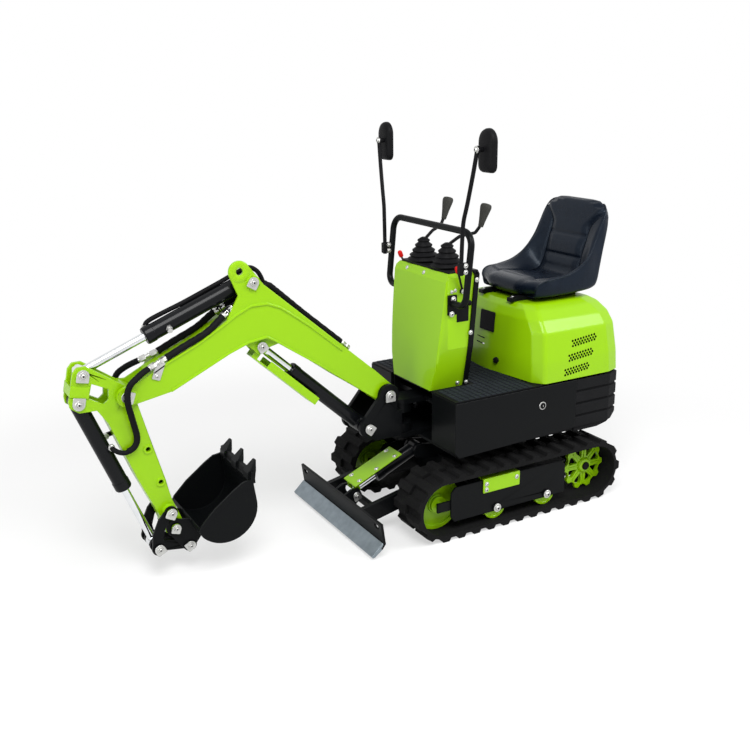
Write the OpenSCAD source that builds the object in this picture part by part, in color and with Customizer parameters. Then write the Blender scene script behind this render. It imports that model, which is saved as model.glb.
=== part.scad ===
// Mini excavator with an open operator's seat, rubber tracks, a dozer blade and a swing boom.
// Frame: +X forward, +Y to the machine's left, +Z up, ground at Z 0, sizes in millimetres.
// Points of the digging gear are [x, z], measured from the slew axis and the ground.

/* [Tracks] */
// Pitch of the lugs along a track
track_pitch = 72; // [60:1:90]
// Links in one track
track_links = 31; // [27:1:37]
// Teeth on the sprocket
sprocket_teeth = 10; // [9:1:12]
// Width of one track
track_w = 180; // [150:5:230]
// Width over both tracks
overall_w = 730; // [680:5:1000]
// Thickness of the rubber belt
belt_t = 14; // [10:1:20]
// Height of a lug above the belt
lug_h = 14; // [8:1:24]

/* [Undercarriage] */
// Height of the slew bearing's joint plane
slew_z = 300; // [290:1:330]
// Radius of the slew bearing
slew_r = 150; // [120:1:180]
// Thickness of the side frame plates
frame_t = 8; // [5:1:12]

/* [Blade] */
// Half width of the blade
blade_hw = 350; // [320:5:480]
// Gap from a side frame to the blade's push arm
push_gap = 43; // [30:1:60]
// Thickness of a push arm
push_t = 25; // [16:1:32]
// Blade pivot
blade_pivot = [330, 150];
// Rod pin on the blade
blade_eye = [606, 129];
// Cylinder pin on the undercarriage
blade_base = [300, 262];

/* [House] */
// Height of the deck
deck_z = 550; // [500:5:600]
// Underside of the house
house_z = 325; // [310:1:360]
// Half width of the house
house_hw = 330; // [300:5:380]
// Front edge of the deck
deck_front = 320; // [280:5:360]
// Rear face of the counterweight
tail_x = -545; // [-600:5:-500]
// Front of the hood at the middle
hood_front = -42; // [-80:2:-30]
// Angle of each half of the hood's front
hood_sweep = 8; // [0:1:12]
// Height of the hood's top
hood_z = 856; // [830:2:900]
// Rear of the seat back
seat_back = -552; // [-600:1:-520]
// Wall of the hood
hood_t = 6; // [3:1:10]

/* [Console] */
// Height of the console's top
console_z = 1020; // [980:1:1060]
// Height of the fold in the console's sides
fold_z = 725; // [680:5:760]
// Half width of the console's foot
foot_hw = 141; // [120:1:170]
// Half width of the console's top
console_hw = 193; // [160:1:220]
// Half width of the handrail
rail_hw = 285; // [260:1:310]
// Height of the handrail's ends
rail_foot = 910; // [880:5:940]
// Height of the handrail's top bar
rail_top = 1188; // [1150:2:1240]
// Radius of the handrail's tube
rail_r = 13; // [10:1:18]
// Height of the mirrors' middle
mirror_z = 1490; // [1400:5:1550]
// Distance of the mirrors from the middle
mirror_y = 361; // [300:1:400]

/* [Boom] */
// Swing post axis
swing_x = 375; // [360:1:400]
// Half width of the boom
boom_hw = 57; // [50:1:70]
// Thickness of the boom's side plates
boom_t = 10; // [6:1:14]
// Boom foot pin
boom_foot = [468, 542];
// Boom cylinder's base pin
boom_base = [563, 420];
// Boom cylinder's rod pin
boom_eye = [980, 808];
// Arm cylinder's base pin
arm_base = [1007, 1051];
// Lifting hole in the boom's ears
lift_hole = [1055, 1094];
// Radius of the lifting hole
lift_r = 13; // [8:0.5:16]

/* [Arm and bucket] */
// Pivot of the arm on the boom
arm_pivot = [1485, 708];
// Arm cylinder's rod pin
arm_eye = [1620, 802];
// Bucket cylinder's base pin
bucket_base = [1643, 705];
// Pivot of the side levers on the arm
lever_pivot = [1371, 253];
// Pin of levers, link and rod
lever_eye = [1425, 124];
// Pivot of the bucket on the arm
bucket_pivot = [1355, 184];
// Pin of the link on the bucket
link_pin = [1306, 103];
// Half width of the arm
arm_hw = 42; // [36:1:50]
// Half width of the bucket
bucket_hw = 160; // [120:5:220]

/* [Fits] */
// Play of a pin in its bore, on the radius
pin_play = 0.3; // [0.2:0.05:0.6]
// Side clearance between moving plates
side_gap = 5; // [5:0.5:8]

/* [Hidden] */
$fn = 48;
green = [0.56, 0.78, 0.08];
black = [0.07, 0.07, 0.08];
steel = [0.62, 0.63, 0.65];
rubber = [0.10, 0.10, 0.11];
red = [0.75, 0.06, 0.05];

// Middle of the machine's length, which becomes the origin
arm_nose = bucket_base[0] + 31;
mid_x = (arm_nose + seat_back) / 2;

rp = track_pitch * sprocket_teeth / (2 * PI);
run = (track_pitch * track_links - 2 * PI * rp) / 2;
wheel_x = run / 2;
belt_r = rp + belt_t / 2;
bore_r = rp - belt_t / 2;
wheel_z = belt_r + lug_h;
track_y = (overall_w - track_w) / 2;
inner_y = track_y - track_w / 2;
frame_in = inner_y + 20;
frame_out = overall_w / 2 - 20;
push_out = frame_in - push_gap;
push_in = push_out - push_t;
lug_out = push_in - side_gap;
roller_r = 54;
roller_z = wheel_z - bore_r + roller_r;
roller_x = 128;
frame_low = roller_z - 17;

function dist(a, b) = norm([b[0] - a[0], b[1] - a[1]]);
function slope(a, b) = atan2(b[1] - a[1], b[0] - a[0]);

// Point on the track's pitch line at length s, off outward
function track_pt(s, off) =
    let (loop = track_pitch * track_links, t = ((s % loop) + loop) % loop, arc = PI * rp)
    t < run ? [-wheel_x + t, wheel_z + rp + off]
    : t < run + arc ? let (a = 90 - (t - run) / rp * 180 / PI)
        [wheel_x + (rp + off) * cos(a), wheel_z + (rp + off) * sin(a)]
    : t < 2 * run + arc ? [wheel_x - (t - run - arc), wheel_z - rp - off]
    : let (a = -90 - (t - 2 * run - arc) / rp * 180 / PI)
        [-wheel_x + (rp + off) * cos(a), wheel_z + (rp + off) * sin(a)];

module grounded() { translate([-mid_x, 0, 0]) children(); }

// A flat outline in X and Z, thick from y0 to y1
module slab(y0, y1) {
    translate([0, y1, 0]) rotate([90, 0, 0]) linear_extrude(y1 - y0) children();
}

// The same slab on both sides of the machine
module slabs(y0, y1) {
    slab(y0, y1) children();
    slab(-y1, -y0) children();
}

// A round bar across the machine at point p
module bar(p, r, y0, y1) {
    translate([p[0], y1, p[1]]) rotate([90, 0, 0]) cylinder(r = r, h = y1 - y0);
}

module bars(p, r, y0, y1) {
    bar(p, r, y0, y1);
    bar(p, r, -y1, -y0);
}

// A round bar between two points
module rod_between(a, b, r) {
    d = b - a;
    translate(a) rotate([0, acos(d[2] / norm(d)), atan2(d[1], d[0])]) cylinder(r = r, h = norm(d));
}

// Places a cylinder's parts: local +X runs from base pin a to rod pin b
module along(a, b) {
    translate([a[0], 0, a[1]]) rotate([0, -slope(a, b), 0]) children();
}

// Hydraulic barrel with its base eye on the origin
module barrel(len, r, bore, rod_r, eye_r, eye_hw, pin_r) {
    difference() {
        union() {
            bar([0, 0], eye_r, -eye_hw, eye_hw);
            translate([eye_r - 8, 0, 0]) rotate([0, 90, 0]) cylinder(r = r, h = len - eye_r + 8);
            translate([0, -min(eye_hw, r * 0.7), -r * 0.6])
                cube([eye_r + 4, 2 * min(eye_hw, r * 0.7), r * 1.2]);
            translate([len - 34, 0, 0]) rotate([0, 90, 0]) cylinder(r = r + 2, h = 30);
        }
        bar([0, 0], pin_r + pin_play, -eye_hw - 20, eye_hw + 20);
        translate([eye_r + 12, 0, 0]) rotate([0, 90, 0]) cylinder(r = bore, h = len - eye_r - 34);
        translate([len - 30, 0, 0]) rotate([0, 90, 0]) cylinder(r = rod_r + pin_play, h = 40);
    }
}

// Piston rod reaching from x0 inside the barrel to its eye at len
module piston_rod(x0, len, rod_r, eye_r, eye_hw) {
    translate([x0, 0, 0]) rotate([0, 90, 0]) cylinder(r = rod_r, h = len - x0 - eye_r + 6);
    bar([len, 0], eye_r, -eye_hw, eye_hw);
}

// One rubber loop with lugs staggered between its two halves
function loop_outline(phase) = [for (i = [0:track_links - 1]) each
    let (s = (i + phase) * track_pitch)
    [track_pt(s - 21, belt_t / 2), track_pt(s - 13, belt_t / 2 + lug_h),
     track_pt(s + 13, belt_t / 2 + lug_h), track_pt(s + 21, belt_t / 2)]];

module track_loop() {
    difference() {
        union() {
            slab(-track_w / 2, 0) polygon(loop_outline(0));
            slab(0, track_w / 2) polygon(loop_outline(0.5));
        }
        translate([-wheel_x, -track_w, wheel_z - bore_r]) cube([run, 2 * track_w, 2 * bore_r]);
        for (x = [-wheel_x, wheel_x]) bar([x, wheel_z], bore_r, -track_w, track_w);
    }
}

module track_left() { color(rubber) grounded() translate([0, track_y, 0]) track_loop(); }
module track_right() { color(rubber) grounded() translate([0, -track_y, 0]) track_loop(); }

// Side frames: an outer and an inner plate with a top plate between them
module side_frame() {
    difference() {
        union() {
            slab(frame_out - frame_t, frame_out) polygon([[-228, frame_low], [330, frame_low],
                [346, frame_low + 24], [346, 190], [325, 212], [-205, 212], [-228, 190]]);
            slab(frame_in, frame_in + frame_t) union() {
                polygon([[-wheel_x, 62], [330, 62], [346, 90], [346, 190], [325, 212], [-wheel_x, 212]]);
                translate([-wheel_x, wheel_z]) circle(r = 76);
            }
            slab(frame_in + 2, frame_out - 2) polygon([[-228, 204], [255, 204], [255, 212], [-228, 212]]);
            for (y = [frame_in + frame_t, frame_out - frame_t - 10])
                slab(y, y + 10) polygon([[290, wheel_z - 20], [wheel_x + 26, wheel_z - 20],
                    [wheel_x + 26, wheel_z + 20], [290, wheel_z + 20]]);
            for (x = [-roller_x, roller_x]) bar([x, roller_z], 13, frame_out - 1, frame_out + 9);
        }
    }
}

module side_frames() {
    color(black) grounded() {
        side_frame();
        mirror([0, 1, 0]) side_frame();
    }
}

function gear_outline(tip, root) = [for (i = [0:sprocket_teeth - 1]) each
    let (a = 360 * i / sprocket_teeth)
    [root * [cos(a - 12), sin(a - 12)], tip * [cos(a - 6), sin(a - 6)],
     tip * [cos(a + 6), sin(a + 6)], root * [cos(a + 12), sin(a + 12)]]];

// Windows between the hub and the toothed rim
windows = 8;
window_ring = 76;
window_r = 19;

module sprocket() {
    translate([-wheel_x, 0, wheel_z]) difference() {
        union() {
            slab(track_y - 2, track_y + 14) polygon(gear_outline(bore_r - 0.5, bore_r - 17));
            bar([0, 0], 52, track_y - 13, track_y + 26);
        }
        for (i = [0:windows - 1]) let (a = 360 * (i + 0.5) / windows)
            bar(window_ring * [cos(a), sin(a)], window_r, track_y - 40, track_y + 40);
    }
}

module sprockets() {
    color(green) grounded() {
        sprocket();
        mirror([0, 1, 0]) sprocket();
    }
}

// Travel motors inside the frame plate and their hub caps outside the sprocket
module travel_motors() {
    color(black) grounded() for (s = [0, 1]) mirror([0, s, 0]) translate([-wheel_x, 0, wheel_z]) {
        bar([0, 0], 58, frame_in + frame_t, track_y - 13);
        bar([0, 0], 50, frame_in - 62, frame_in);
        bar([0, 0], 34, track_y + 26, track_y + 44);
        bar([0, 0], 20, track_y + 44, track_y + 52);
    }
}

module idlers() {
    color(green) grounded() for (s = [0, 1]) mirror([0, s, 0]) difference() {
        translate([wheel_x, 0, wheel_z]) union() {
            bar([0, 0], bore_r - 0.5, track_y - 18, track_y + 18);
            bar([0, 0], 34, track_y - 30, track_y + 30);
            bar([0, 0], 15, frame_in + frame_t + 10, frame_out - frame_t - 10);
        }
        translate([wheel_x, 0, wheel_z]) for (y = [track_y + 10, track_y - 24]) difference() {
            bar([0, 0], bore_r - 16, y, y + 14);
            bar([0, 0], 40, y - 1, y + 15);
        }
    }
}

module track_rollers() {
    color(green) grounded() for (s = [0, 1]) mirror([0, s, 0]) for (x = [-roller_x, roller_x]) {
        bar([x, roller_z], roller_r, track_y + 16, track_y + 44);
        bar([x, roller_z], roller_r, track_y - 44, track_y - 16);
        bar([x, roller_z], 30, track_y - 16, track_y + 16);
        bar([x, roller_z], 13, frame_in + frame_t, frame_out - frame_t);
    }
}

// Folded skid plates bolted to the side frames under the upper run
module track_guards() {
    color(green) grounded() for (s = [0, 1]) mirror([0, s, 0]) {
        slab(frame_out, frame_out + 6) polygon([[17, 158], [196, 158], [196, 218], [17, 218]]);
        translate([17, frame_in + 30, 212]) cube([179, frame_out - frame_in - 30, 6]);
    }
}

// Centre frame with the bearing seat, the blade's lugs and the blade cylinder's lugs
module car_body() {
    color(black) grounded() difference() {
        union() {
            translate([-210, -frame_in, 116]) cube([420, 2 * frame_in, 112]);
            translate([0, 0, 228]) cylinder(r = slew_r, h = slew_z - 228);
            translate([0, 0, slew_z - 1]) cylinder(r = 60, h = 21);
            slabs(lug_out - 16, lug_out) polygon([[200, 118], [blade_pivot[0], 118],
                [blade_pivot[0], 186], [200, 226]]);
            bars(blade_pivot, 34, lug_out - 16, lug_out);
            bars(blade_pivot, 14, lug_out - 2, push_out + 10);
            bars(blade_pivot, 20, push_out + side_gap, push_out + side_gap + 6);
            slabs(30, 42) polygon([[140, 200], [320, 232], [330, 262], [318, 282], [290, 288],
                [140, 262]]);
            bar(blade_base, 12, -42, 42);
        }
    }
}

// Dozer blade: folded mouldboard, push arms and the cylinder's lugs
module blade() {
    color(black) grounded() difference() {
        union() {
            slab(-blade_hw, blade_hw) polygon([[667, 42], [655, 58], [666, 140], [656, 142], [644, 56],
                [659, 36]]);
            slabs(push_in, push_out) polygon([[306, 126], [330, 116], [660, 44], [650, 118], [344, 184],
                [312, 176]]);
            bars(blade_pivot, 34, push_in, push_out);
            slabs(30, 42) polygon([[652, 60], [660, 138], [628, 156], [590, 156], [578, 129], [590, 104],
                [650, 52]]);
            bars(blade_eye, 17, 42, 50);
            slab(-push_in - 3, push_in + 3) polygon([[560, 84], [580, 84], [580, 110], [560, 110]]);
        }
        bars(blade_pivot, 14 + pin_play, push_in - 10, push_out + 10);
        for (s = [-1, 1]) for (e = [-8, 8])
            translate([640, s * (blade_hw - 40) + e, 118]) rotate([0, 90, 0]) cylinder(r = 9, h = 60);
        for (s = [-1, 1]) translate([640, s * (blade_hw - 40) - 8, 109]) cube([60, 16, 18]);
    }
}

module cutting_edge() {
    color(steel) grounded() slab(-blade_hw, blade_hw)
        polygon([[659, 36], [667, 42], [704, 18], [700, 10], [692, 12]]);
}

module blade_barrel() {
    color(black) grounded() along(blade_base, blade_eye) barrel(212, 28, 21, 13, 26, 22, 12);
}

module blade_rod() {
    color(steel) grounded() along(blade_base, blade_eye)
        piston_rod(100, dist(blade_base, blade_eye), 13, 24, 22);
}

// Channel over the blade cylinder's rod, carried by the rod's eye
module blade_guard() {
    color(green) grounded() along(blade_base, blade_eye) {
        len = dist(blade_base, blade_eye);
        translate([len - 250, -50, 38]) cube([240, 100, 5]);
        for (y = [-28, 22]) difference() {
            translate([len - 34, y, 0]) cube([24, 6, 39]);
            bar([len, 0], 24, -40, 40);
        }
    }
}

// Revolving frame: bottom plate, bearing ring, two webs, deck plate and the nose of the swing post
module house_frame() {
    color(black) grounded() difference() {
        union() {
            difference() {
                union() {
                    translate([0, 0, slew_z + 1]) cylinder(r = slew_r - 8, h = house_z - slew_z);
                    translate([-440, -house_hw + 14, house_z])
                        cube([440 + deck_front - 12, 2 * house_hw - 28, 12]);
                }
                translate([0, 0, slew_z - 10]) cylinder(r = 60 + pin_play, h = 30);
            }
            for (s = [-1, 1]) translate([-440, s * 156 - 6, house_z + 11])
                cube([440 + deck_front - 12, 12, deck_z - house_z - 20]);
            translate([hood_front - 70, -house_hw + 14, deck_z - 10])
                cube([deck_front - hood_front + 58, 2 * house_hw - 28, 10]);
            for (z = [335, 478]) {
                translate([250, -50, z]) cube([swing_x - 250, 100, 22]);
                translate([swing_x, 0, z]) cylinder(r = 50, h = 22);
            }
            translate([240, -150, 478]) cube([40, 300, 22]);
            translate([swing_x, 0, 335]) cylinder(r = 20, h = 165);
            for (z = [380, 444]) translate([-5, -154, z]) hull_plate(44, 26, 12);
            translate([-5, -110, 380]) cylinder(r = 11, h = 76);
        }
    }
}

// A lug from a web to a pin: straight sides and a round end, drawn toward +Y
module hull_plate(len, r, h) {
    translate([-r, 0, 0]) cube([2 * r, len, h]);
    translate([0, len, 0]) cylinder(r = r, h = h);
}

module skirts() {
    color(black) grounded() for (s = [0, 1]) mirror([0, s, 0]) {
        slab(house_hw - 14, house_hw) polygon([[-282, house_z + 14], [deck_front - 20, house_z - 3],
            [deck_front, house_z + 20],
            [deck_front, deck_z - 2], [-282, deck_z - 2]]);
        translate([deck_front - 12, 160, house_z + 20]) cube([12, house_hw - 174, deck_z - house_z - 22]);
    }
}

// Plan of the tail, d inside its outer face
function tail_plan(d) = [for (p = both_sides([[80, tail_x + d], [235, tail_x + 6 + d],
    [house_hw - 22 - d * 0.5, -520 + d * 0.5],
    [house_hw - d, -462], [house_hw - d, -282]])) [p[1], p[0]]];

module counterweight() {
    color(black) grounded() difference() {
        intersection() {
            union() {
                translate([0, 0, 318]) linear_extrude(228) polygon(tail_plan(7));
                for (z = [340, 394, 448, 502]) translate([0, 0, z]) linear_extrude(44)
                    polygon(tail_plan(0));
            }
            slab(-400, 400) polygon([[-282, 318], [-410, 318], [-475, 332], [-522, 366], [tail_x, 420],
                [tail_x, 546], [-282, 546]]);
        }
        translate([-440, -house_hw + 14, 300]) cube([300, 2 * house_hw - 28, 300]);
    }
}

module deck_mat() {
    color(rubber) grounded() difference() {
        translate([hood_front - 64, -house_hw + 4, deck_z])
            cube([deck_front - hood_front + 62, 2 * house_hw - 8, 4]);
        translate([132, -foot_hw - 12, deck_z - 1]) cube([200, 2 * foot_hw + 24, 6]);
    }
}

module engine() {
    color(steel) grounded() translate([-430, -135, house_z + 12]) cube([280, 270, 420]);
}

// Outlines of the hood d inside its skin: across, along the rear, along the front and from above
hood_hw = house_hw - 2;
hood_base = deck_z + 6;
crease_z = deck_z + 90;
shoulder_z = hood_z - 70;
brow_z = hood_z - 24;
function hood_half(d) = [[hood_hw - d, hood_base], [hood_hw - 4 - d, crease_z],
    [hood_hw - 28 - d, shoulder_z - d * 0.4],
    [hood_hw - 88 - d * 0.5, brow_z - d], [hood_hw - 128, hood_z - d]];
function both_sides(half) = concat(half, [for (i = [len(half) - 1:-1:0]) [-half[i][0], half[i][1]]]);
function hood_rear(d) = [[-526 + d, hood_base], [0, hood_base], [0, hood_z - d], [-455, hood_z - d],
    [-492 + d, brow_z - d],
    [-508 + d, shoulder_z], [-522 + d, crease_z]];
function hood_nose(d) = [[-900, hood_base], [hood_front - d, hood_base], [hood_front - 2 - d, crease_z],
    [hood_front - 14 - d, shoulder_z],
    [hood_front - 32 - d, brow_z - d * 0.5], [hood_front - 62 - d * 0.5, hood_z - d], [-900, hood_z - d]];
function hood_plan(d) = [for (p = both_sides([[230, -524 + d], [hood_hw - 20 - d * 0.5, -512 + d * 0.5],
    [hood_hw - d, -455],
    [hood_hw - d, hood_front - 72], [hood_hw - 48 - d, 0]])) [p[1], p[0]]];

module hood_form(d) {
    intersection() {
        translate([-700, 0, 0]) rotate([90, 0, 90]) linear_extrude(800) polygon(both_sides(hood_half(d)));
        slab(-400, 400) polygon(hood_rear(d));
        rotate([0, 0, hood_sweep]) slab(-600, 600) polygon(hood_nose(d));
        rotate([0, 0, -hood_sweep]) slab(-600, 600) polygon(hood_nose(d));
        translate([0, 0, 400]) linear_extrude(600) polygon(hood_plan(d));
    }
}

module hood() {
    color(green) grounded() difference() {
        union() {
            difference() {
                hood_form(0);
                translate([0, 0, -1]) hood_form(hood_t);
            }
            bars([-538, deck_z + 14], 8, 180, 230);
            slabs(180, 230) polygon([[-538, deck_z + 8], [-504, deck_z + 8], [-504, deck_z + 20],
                [-538, deck_z + 20]]);
        }
        bars([-538, deck_z + 14], 4 + pin_play, 170, 240);
        vents();
        for (z = [crease_z + 16, crease_z + 41]) translate([hood_front - 40, -66, z]) cube([80, 62, 5]);
    }
}

// Three groups of small holes on each side, in rows that rise to the rear
module vents() {
    for (group = [0:2]) for (row = [0:2]) for (i = [0:8])
        bar([-213 - 19 * group - 14.5 * (i + (row % 2) / 2),
            deck_z + 30 + 58.5 * group + 11 * row + 2 * i], 4, -400, 400, $fn = 6);
}

// Hinge pins of the hood, standing on the counterweight
module hood_hinge() {
    color(steel) grounded() for (s = [0, 1]) mirror([0, s, 0]) {
        bar([-538, deck_z + 14], 4, 160, 248);
        slabs_near(236, 248);
        slabs_near(162, 174);
    }
}

module slabs_near(y0, y1) {
    slab(y0, y1) polygon([[-543, deck_z - 4], [-530, deck_z - 4], [-530, deck_z + 16],
        [-533, deck_z + 21], [-543, deck_z + 21]]);
}

module seat_rails() {
    color(black) grounded() for (y = [-115, 85]) translate([-440, y, hood_z]) cube([346, 30, 16]);
}

module seat() {
    color(black) grounded() translate([0, 0, hood_z + 16]) union() {
        slab(-150, 150) polygon([[-462, 0], [-192, 0], [-165, 15], [-462, 15]]);
        slab(-205, 205) polygon([[-474, 14], [-170, 14], [-142, 28], [-136, 42], [-150, 56], [-200, 62],
            [-425, 46], [-470, 46]]);
        slab(-194, 194) polygon([[-425, 40], [-520, 340], [-534, 362], [-546, 358], [seat_back, 338],
            [-486, 30]]);
        slabs(178, 212) polygon([[-180, 20], [-158, 40], [-180, 66], [-340, 80], [-430, 130], [-492, 216],
            [-528, 220], [-486, 30]]);
    }
}

// Across the console: a narrow foot that widens to the fold, then upright sides, e wider all round
function console_half(e) = [[foot_hw + e, deck_z], [console_hw + e, fold_z],
    [console_hw + e, console_z - 14 + e], [console_hw - 14 + e, console_z + e]];

module across(half) {
    rotate([90, 0, 90]) linear_extrude(500) polygon(both_sides(half));
}

// Plan with two rounded front corners
module round_front(x0, x1, hw, r) {
    translate([x0, -hw]) square([x1 - r - x0, 2 * hw]);
    translate([x0, -hw + r]) square([x1 - x0, 2 * (hw - r)]);
    for (s = [-1, 1]) translate([x1 - r, s * (hw - r)]) circle(r = r);
}

module console() {
    color(green) grounded() intersection() {
        slab(-260, 260) polygon([[162, deck_z], [deck_front - 4, deck_z], [304, fold_z],
            [278, console_z - 30], [262, console_z], [148, console_z], [148, console_z - 10],
            [174, fold_z]]);
        across(console_half(0));
        translate([0, 0, deck_z]) linear_extrude(console_z - deck_z + 30)
            round_front(100, deck_front - 4, console_hw, 50);
    }
}

// Black rear cover, whose edge frames the console's sides
module console_back() {
    color(black) grounded() intersection() {
        slab(-260, 260) polygon([[140, deck_z], [162, deck_z], [174, fold_z], [148, console_z - 10],
            [148, console_z + 8], [126, console_z + 8],
            [126, console_z - 10], [152, fold_z]]);
        across(console_half(7));
    }
}

// Joysticks with bellows boots on a common plate, the levers bent back and out to the driver's hands
boot_y = 86;
boot_form = [[0, -1], [50, -1], [60, 2], [66, 8], [53, 18], [58, 24], [42, 36], [47, 43], [31, 56],
    [36, 63], [22, 76], [26, 83], [13, 96], [0, 96]];
lever_bend = [[-6, 0, 90], [-54, 12, 118], [-104, 36, 130], [-126, 45, 160]];
lever_r = 7;
grip_top = [-150, 48, 236];
grip_r = [9, 18];

module control_levers() {
    color(black) grounded() {
        translate([150, -console_hw + 16, console_z]) cube([106, 2 * console_hw - 32, 8]);
        for (s = [0, 1]) mirror([0, s, 0]) translate([204, boot_y, console_z + 8]) {
            rotate_extrude() polygon(boot_form);
            for (i = [0:2]) rod_between(lever_bend[i], lever_bend[i + 1], lever_r);
            for (i = [1:2]) translate(lever_bend[i]) sphere(r = lever_r + 1.2);
            grip(lever_bend[3] - [0, 0, 2], grip_top, grip_r[0], grip_r[1]);
        }
    }
}

// Tapered handle from a to b with a low round top
module grip(a, b, r0, r1) {
    d = b - a;
    translate(a) rotate([0, acos(d[2] / norm(d)), atan2(d[1], d[0])]) {
        cylinder(r1 = r0, r2 = r1, h = norm(d));
        translate([0, 0, norm(d) - 2]) scale([1, 1, 0.5]) sphere(r = r1 + 1);
    }
}

// The two lock levers at the console's sides
module lock_levers() {
    color(red) grounded() for (s = [0, 1]) mirror([0, s, 0]) {
        bar([206, 952], 10, console_hw, console_hw + 12);
        rod_between([206, console_hw + 7, 952], [236, console_hw + 18, 1032], 5);
        rod_between([234, console_hw + 17, 1027], [241, console_hw + 20, 1052], 9);
        translate([241, console_hw + 20, 1052]) sphere(r = 9);
    }
}

rail_x = 252;
rail_lean = 5.8;
rail_bend = 55;
end_bend = 40;
leg_h = (rail_top - rail_foot) / cos(rail_lean) - end_bend - rail_bend;

// A quarter of a bent tube in the plane of Y and Z, from angle a
module bend(r, a) {
    rotate([90, 0, 90]) rotate([0, 0, a]) rotate_extrude(angle = 90) translate([r, 0]) circle(r = rail_r);
}

module handrail() {
    color(black) grounded() for (s = [0, 1]) mirror([0, s, 0]) {
        translate([rail_x - 20, console_hw, rail_foot - 46]) cube([40, 8, 78]);
        translate([rail_x, 0, rail_foot]) rotate([0, -rail_lean, 0]) {
            bar([0, 0], rail_r, console_hw + 7, rail_hw - end_bend);
            translate([0, rail_hw - end_bend, end_bend]) bend(end_bend, -90);
            translate([0, rail_hw, end_bend]) cylinder(r = rail_r, h = leg_h);
            translate([0, rail_hw - rail_bend, end_bend + leg_h]) bend(rail_bend, 0);
            translate([0, 0, end_bend + leg_h + rail_bend]) bar([0, 0], rail_r, -1, rail_hw - rail_bend);
        }
    }
}

// Outline of a mirror's housing: a round top and rounded lower corners
module pod_outline(w, h, r) {
    translate([0, h / 2 - w / 2]) circle(r = w / 2);
    translate([-w / 2, -h / 2 + r]) square([w, h - w / 2 - r]);
    translate([-w / 2 + r, -h / 2]) square([w - 2 * r, h / 2]);
    for (s = [-1, 1]) translate([s * (w / 2 - r), -h / 2 + r]) circle(r = r);
}

// Mirrors on bent stems, clamped to the handrail's legs
module mirrors() {
    foot = [rail_x + 20, rail_hw - 2, rail_foot + 136];
    knee = [rail_x + 18, rail_hw + 6, rail_foot + 320];
    neck = [rail_x + 4, mirror_y - 10, mirror_z + 4];
    color(black) grounded() for (s = [0, 1]) mirror([0, s, 0]) {
        difference() {
            translate([rail_x - 16, rail_hw - 12, foot[2] - 8]) cube([48, 21, 42]);
            translate([rail_x, rail_hw, rail_foot]) rotate([0, -rail_lean, 0])
                cylinder(r = rail_r + pin_play, h = 300);
        }
        rod_between(foot, knee, 8);
        translate(knee) sphere(r = 9.6);
        rod_between(knee, neck, 8);
        translate(neck) sphere(r = 14);
        translate([neck[0] - 26, neck[1], neck[2]]) rotate([0, 90, 0]) cylinder(r = 8.5, h = 26);
        translate([209, mirror_y, mirror_z]) rotate([90, 0, 90]) linear_extrude(26)
            pod_outline(95, 155, 26);
    }
}

// Swing post: hub, two cheeks with the boom's pins and the lever of the swing cylinder
module swing_bracket() {
    cheek_y = boom_hw + side_gap;
    color(black) grounded() difference() {
        union() {
            for (z = [358, 441]) translate([swing_x, 0, z]) cylinder(r = 48, h = 36);
            translate([swing_x + 34, -cheek_y - 20, 363]) cube([46, 2 * cheek_y + 40, 107]);
            slabs(cheek_y, cheek_y + 20) union() {
                polygon([[432, 363], [530, 363], [590, 392], [600, 420], [592, 446], [512, 540],
                    [506, 566], [430, 566], [424, 542], [432, 500]]);
                translate(boom_foot) circle(r = 44);
                translate(boom_base) circle(r = 38);
            }
            bar(boom_foot, 16, -cheek_y - 28, cheek_y + 28);
            bar(boom_base, 13, -cheek_y - 28, cheek_y + 28);
            bars(boom_foot, 24, cheek_y + 20, cheek_y + 27);
            bars(boom_base, 21, cheek_y + 20, cheek_y + 27);
            for (z = [382, 442]) translate([swing_x + 8, 0, z]) mirror([0, 1, 0]) hull_plate(95, 22, 12);
        }
        translate([swing_x, 0, 300]) cylinder(r = 20 + pin_play, h = 300);
    }
}

swing_base = [-5, -110];
swing_eye = [swing_x + 8, -95];

module swing_barrel() {
    color(black) grounded() translate([swing_base[0], swing_base[1], 418])
        rotate([0, 0, slope(swing_base, swing_eye)]) rotate([90, 0, 0])
        barrel(250, 22, 16, 11, 22, 13, 11);
}

module swing_rod() {
    color(steel) grounded() translate([swing_base[0], swing_base[1], 418])
        rotate([0, 0, slope(swing_base, swing_eye)]) rotate([90, 0, 0])
        piston_rod(130, dist(swing_base, swing_eye), 11, 20, 12);
}

// Outline of the boom's side plates, of which the left one carries the lifting eye
boom_belly = [[432, 520], [468, 498], [493, 512], [758, 704], [882, 788], [930, 822], [965, 842],
    [1033, 832], [1108, 804], [1329, 699]];
boom_tip = [[1454, 676], [1490, 676], [1518, 708], [1490, 742], [1460, 744]];
boom_brow = [[1325, 814], [1222, 860], [1112, 924]];
lift_ear = [[1064, 1007], [1091, 1075], [1086, 1112], [1056, 1131], [1020, 1111], [966, 1039]];
pin_ear = [[1060, 1000], [1040, 1050], [1026, 1078], [1002, 1080], [966, 1039]];
boom_back = [[513, 643], [432, 566]];
function boom_plate(ear) = concat(boom_belly, boom_tip, boom_brow, ear, boom_back);

// Edges of the top and bottom plates, which stand out from the side plates
hump = [[660, 755], [793, 868], [854, 914], [909, 953], [958, 972], [1019, 971], [1080, 943], [1112, 922],
    [1222, 860], [1325, 814], [1388, 780]];
belly_edge = [[660, 633], [758, 704], [882, 788], [930, 822], [965, 842], [1033, 832], [1108, 804],
    [1329, 699]];
function strip(line, t) = concat(line, [for (i = [len(line) - 1:-1:0]) line[i] + [0, t]]);

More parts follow.
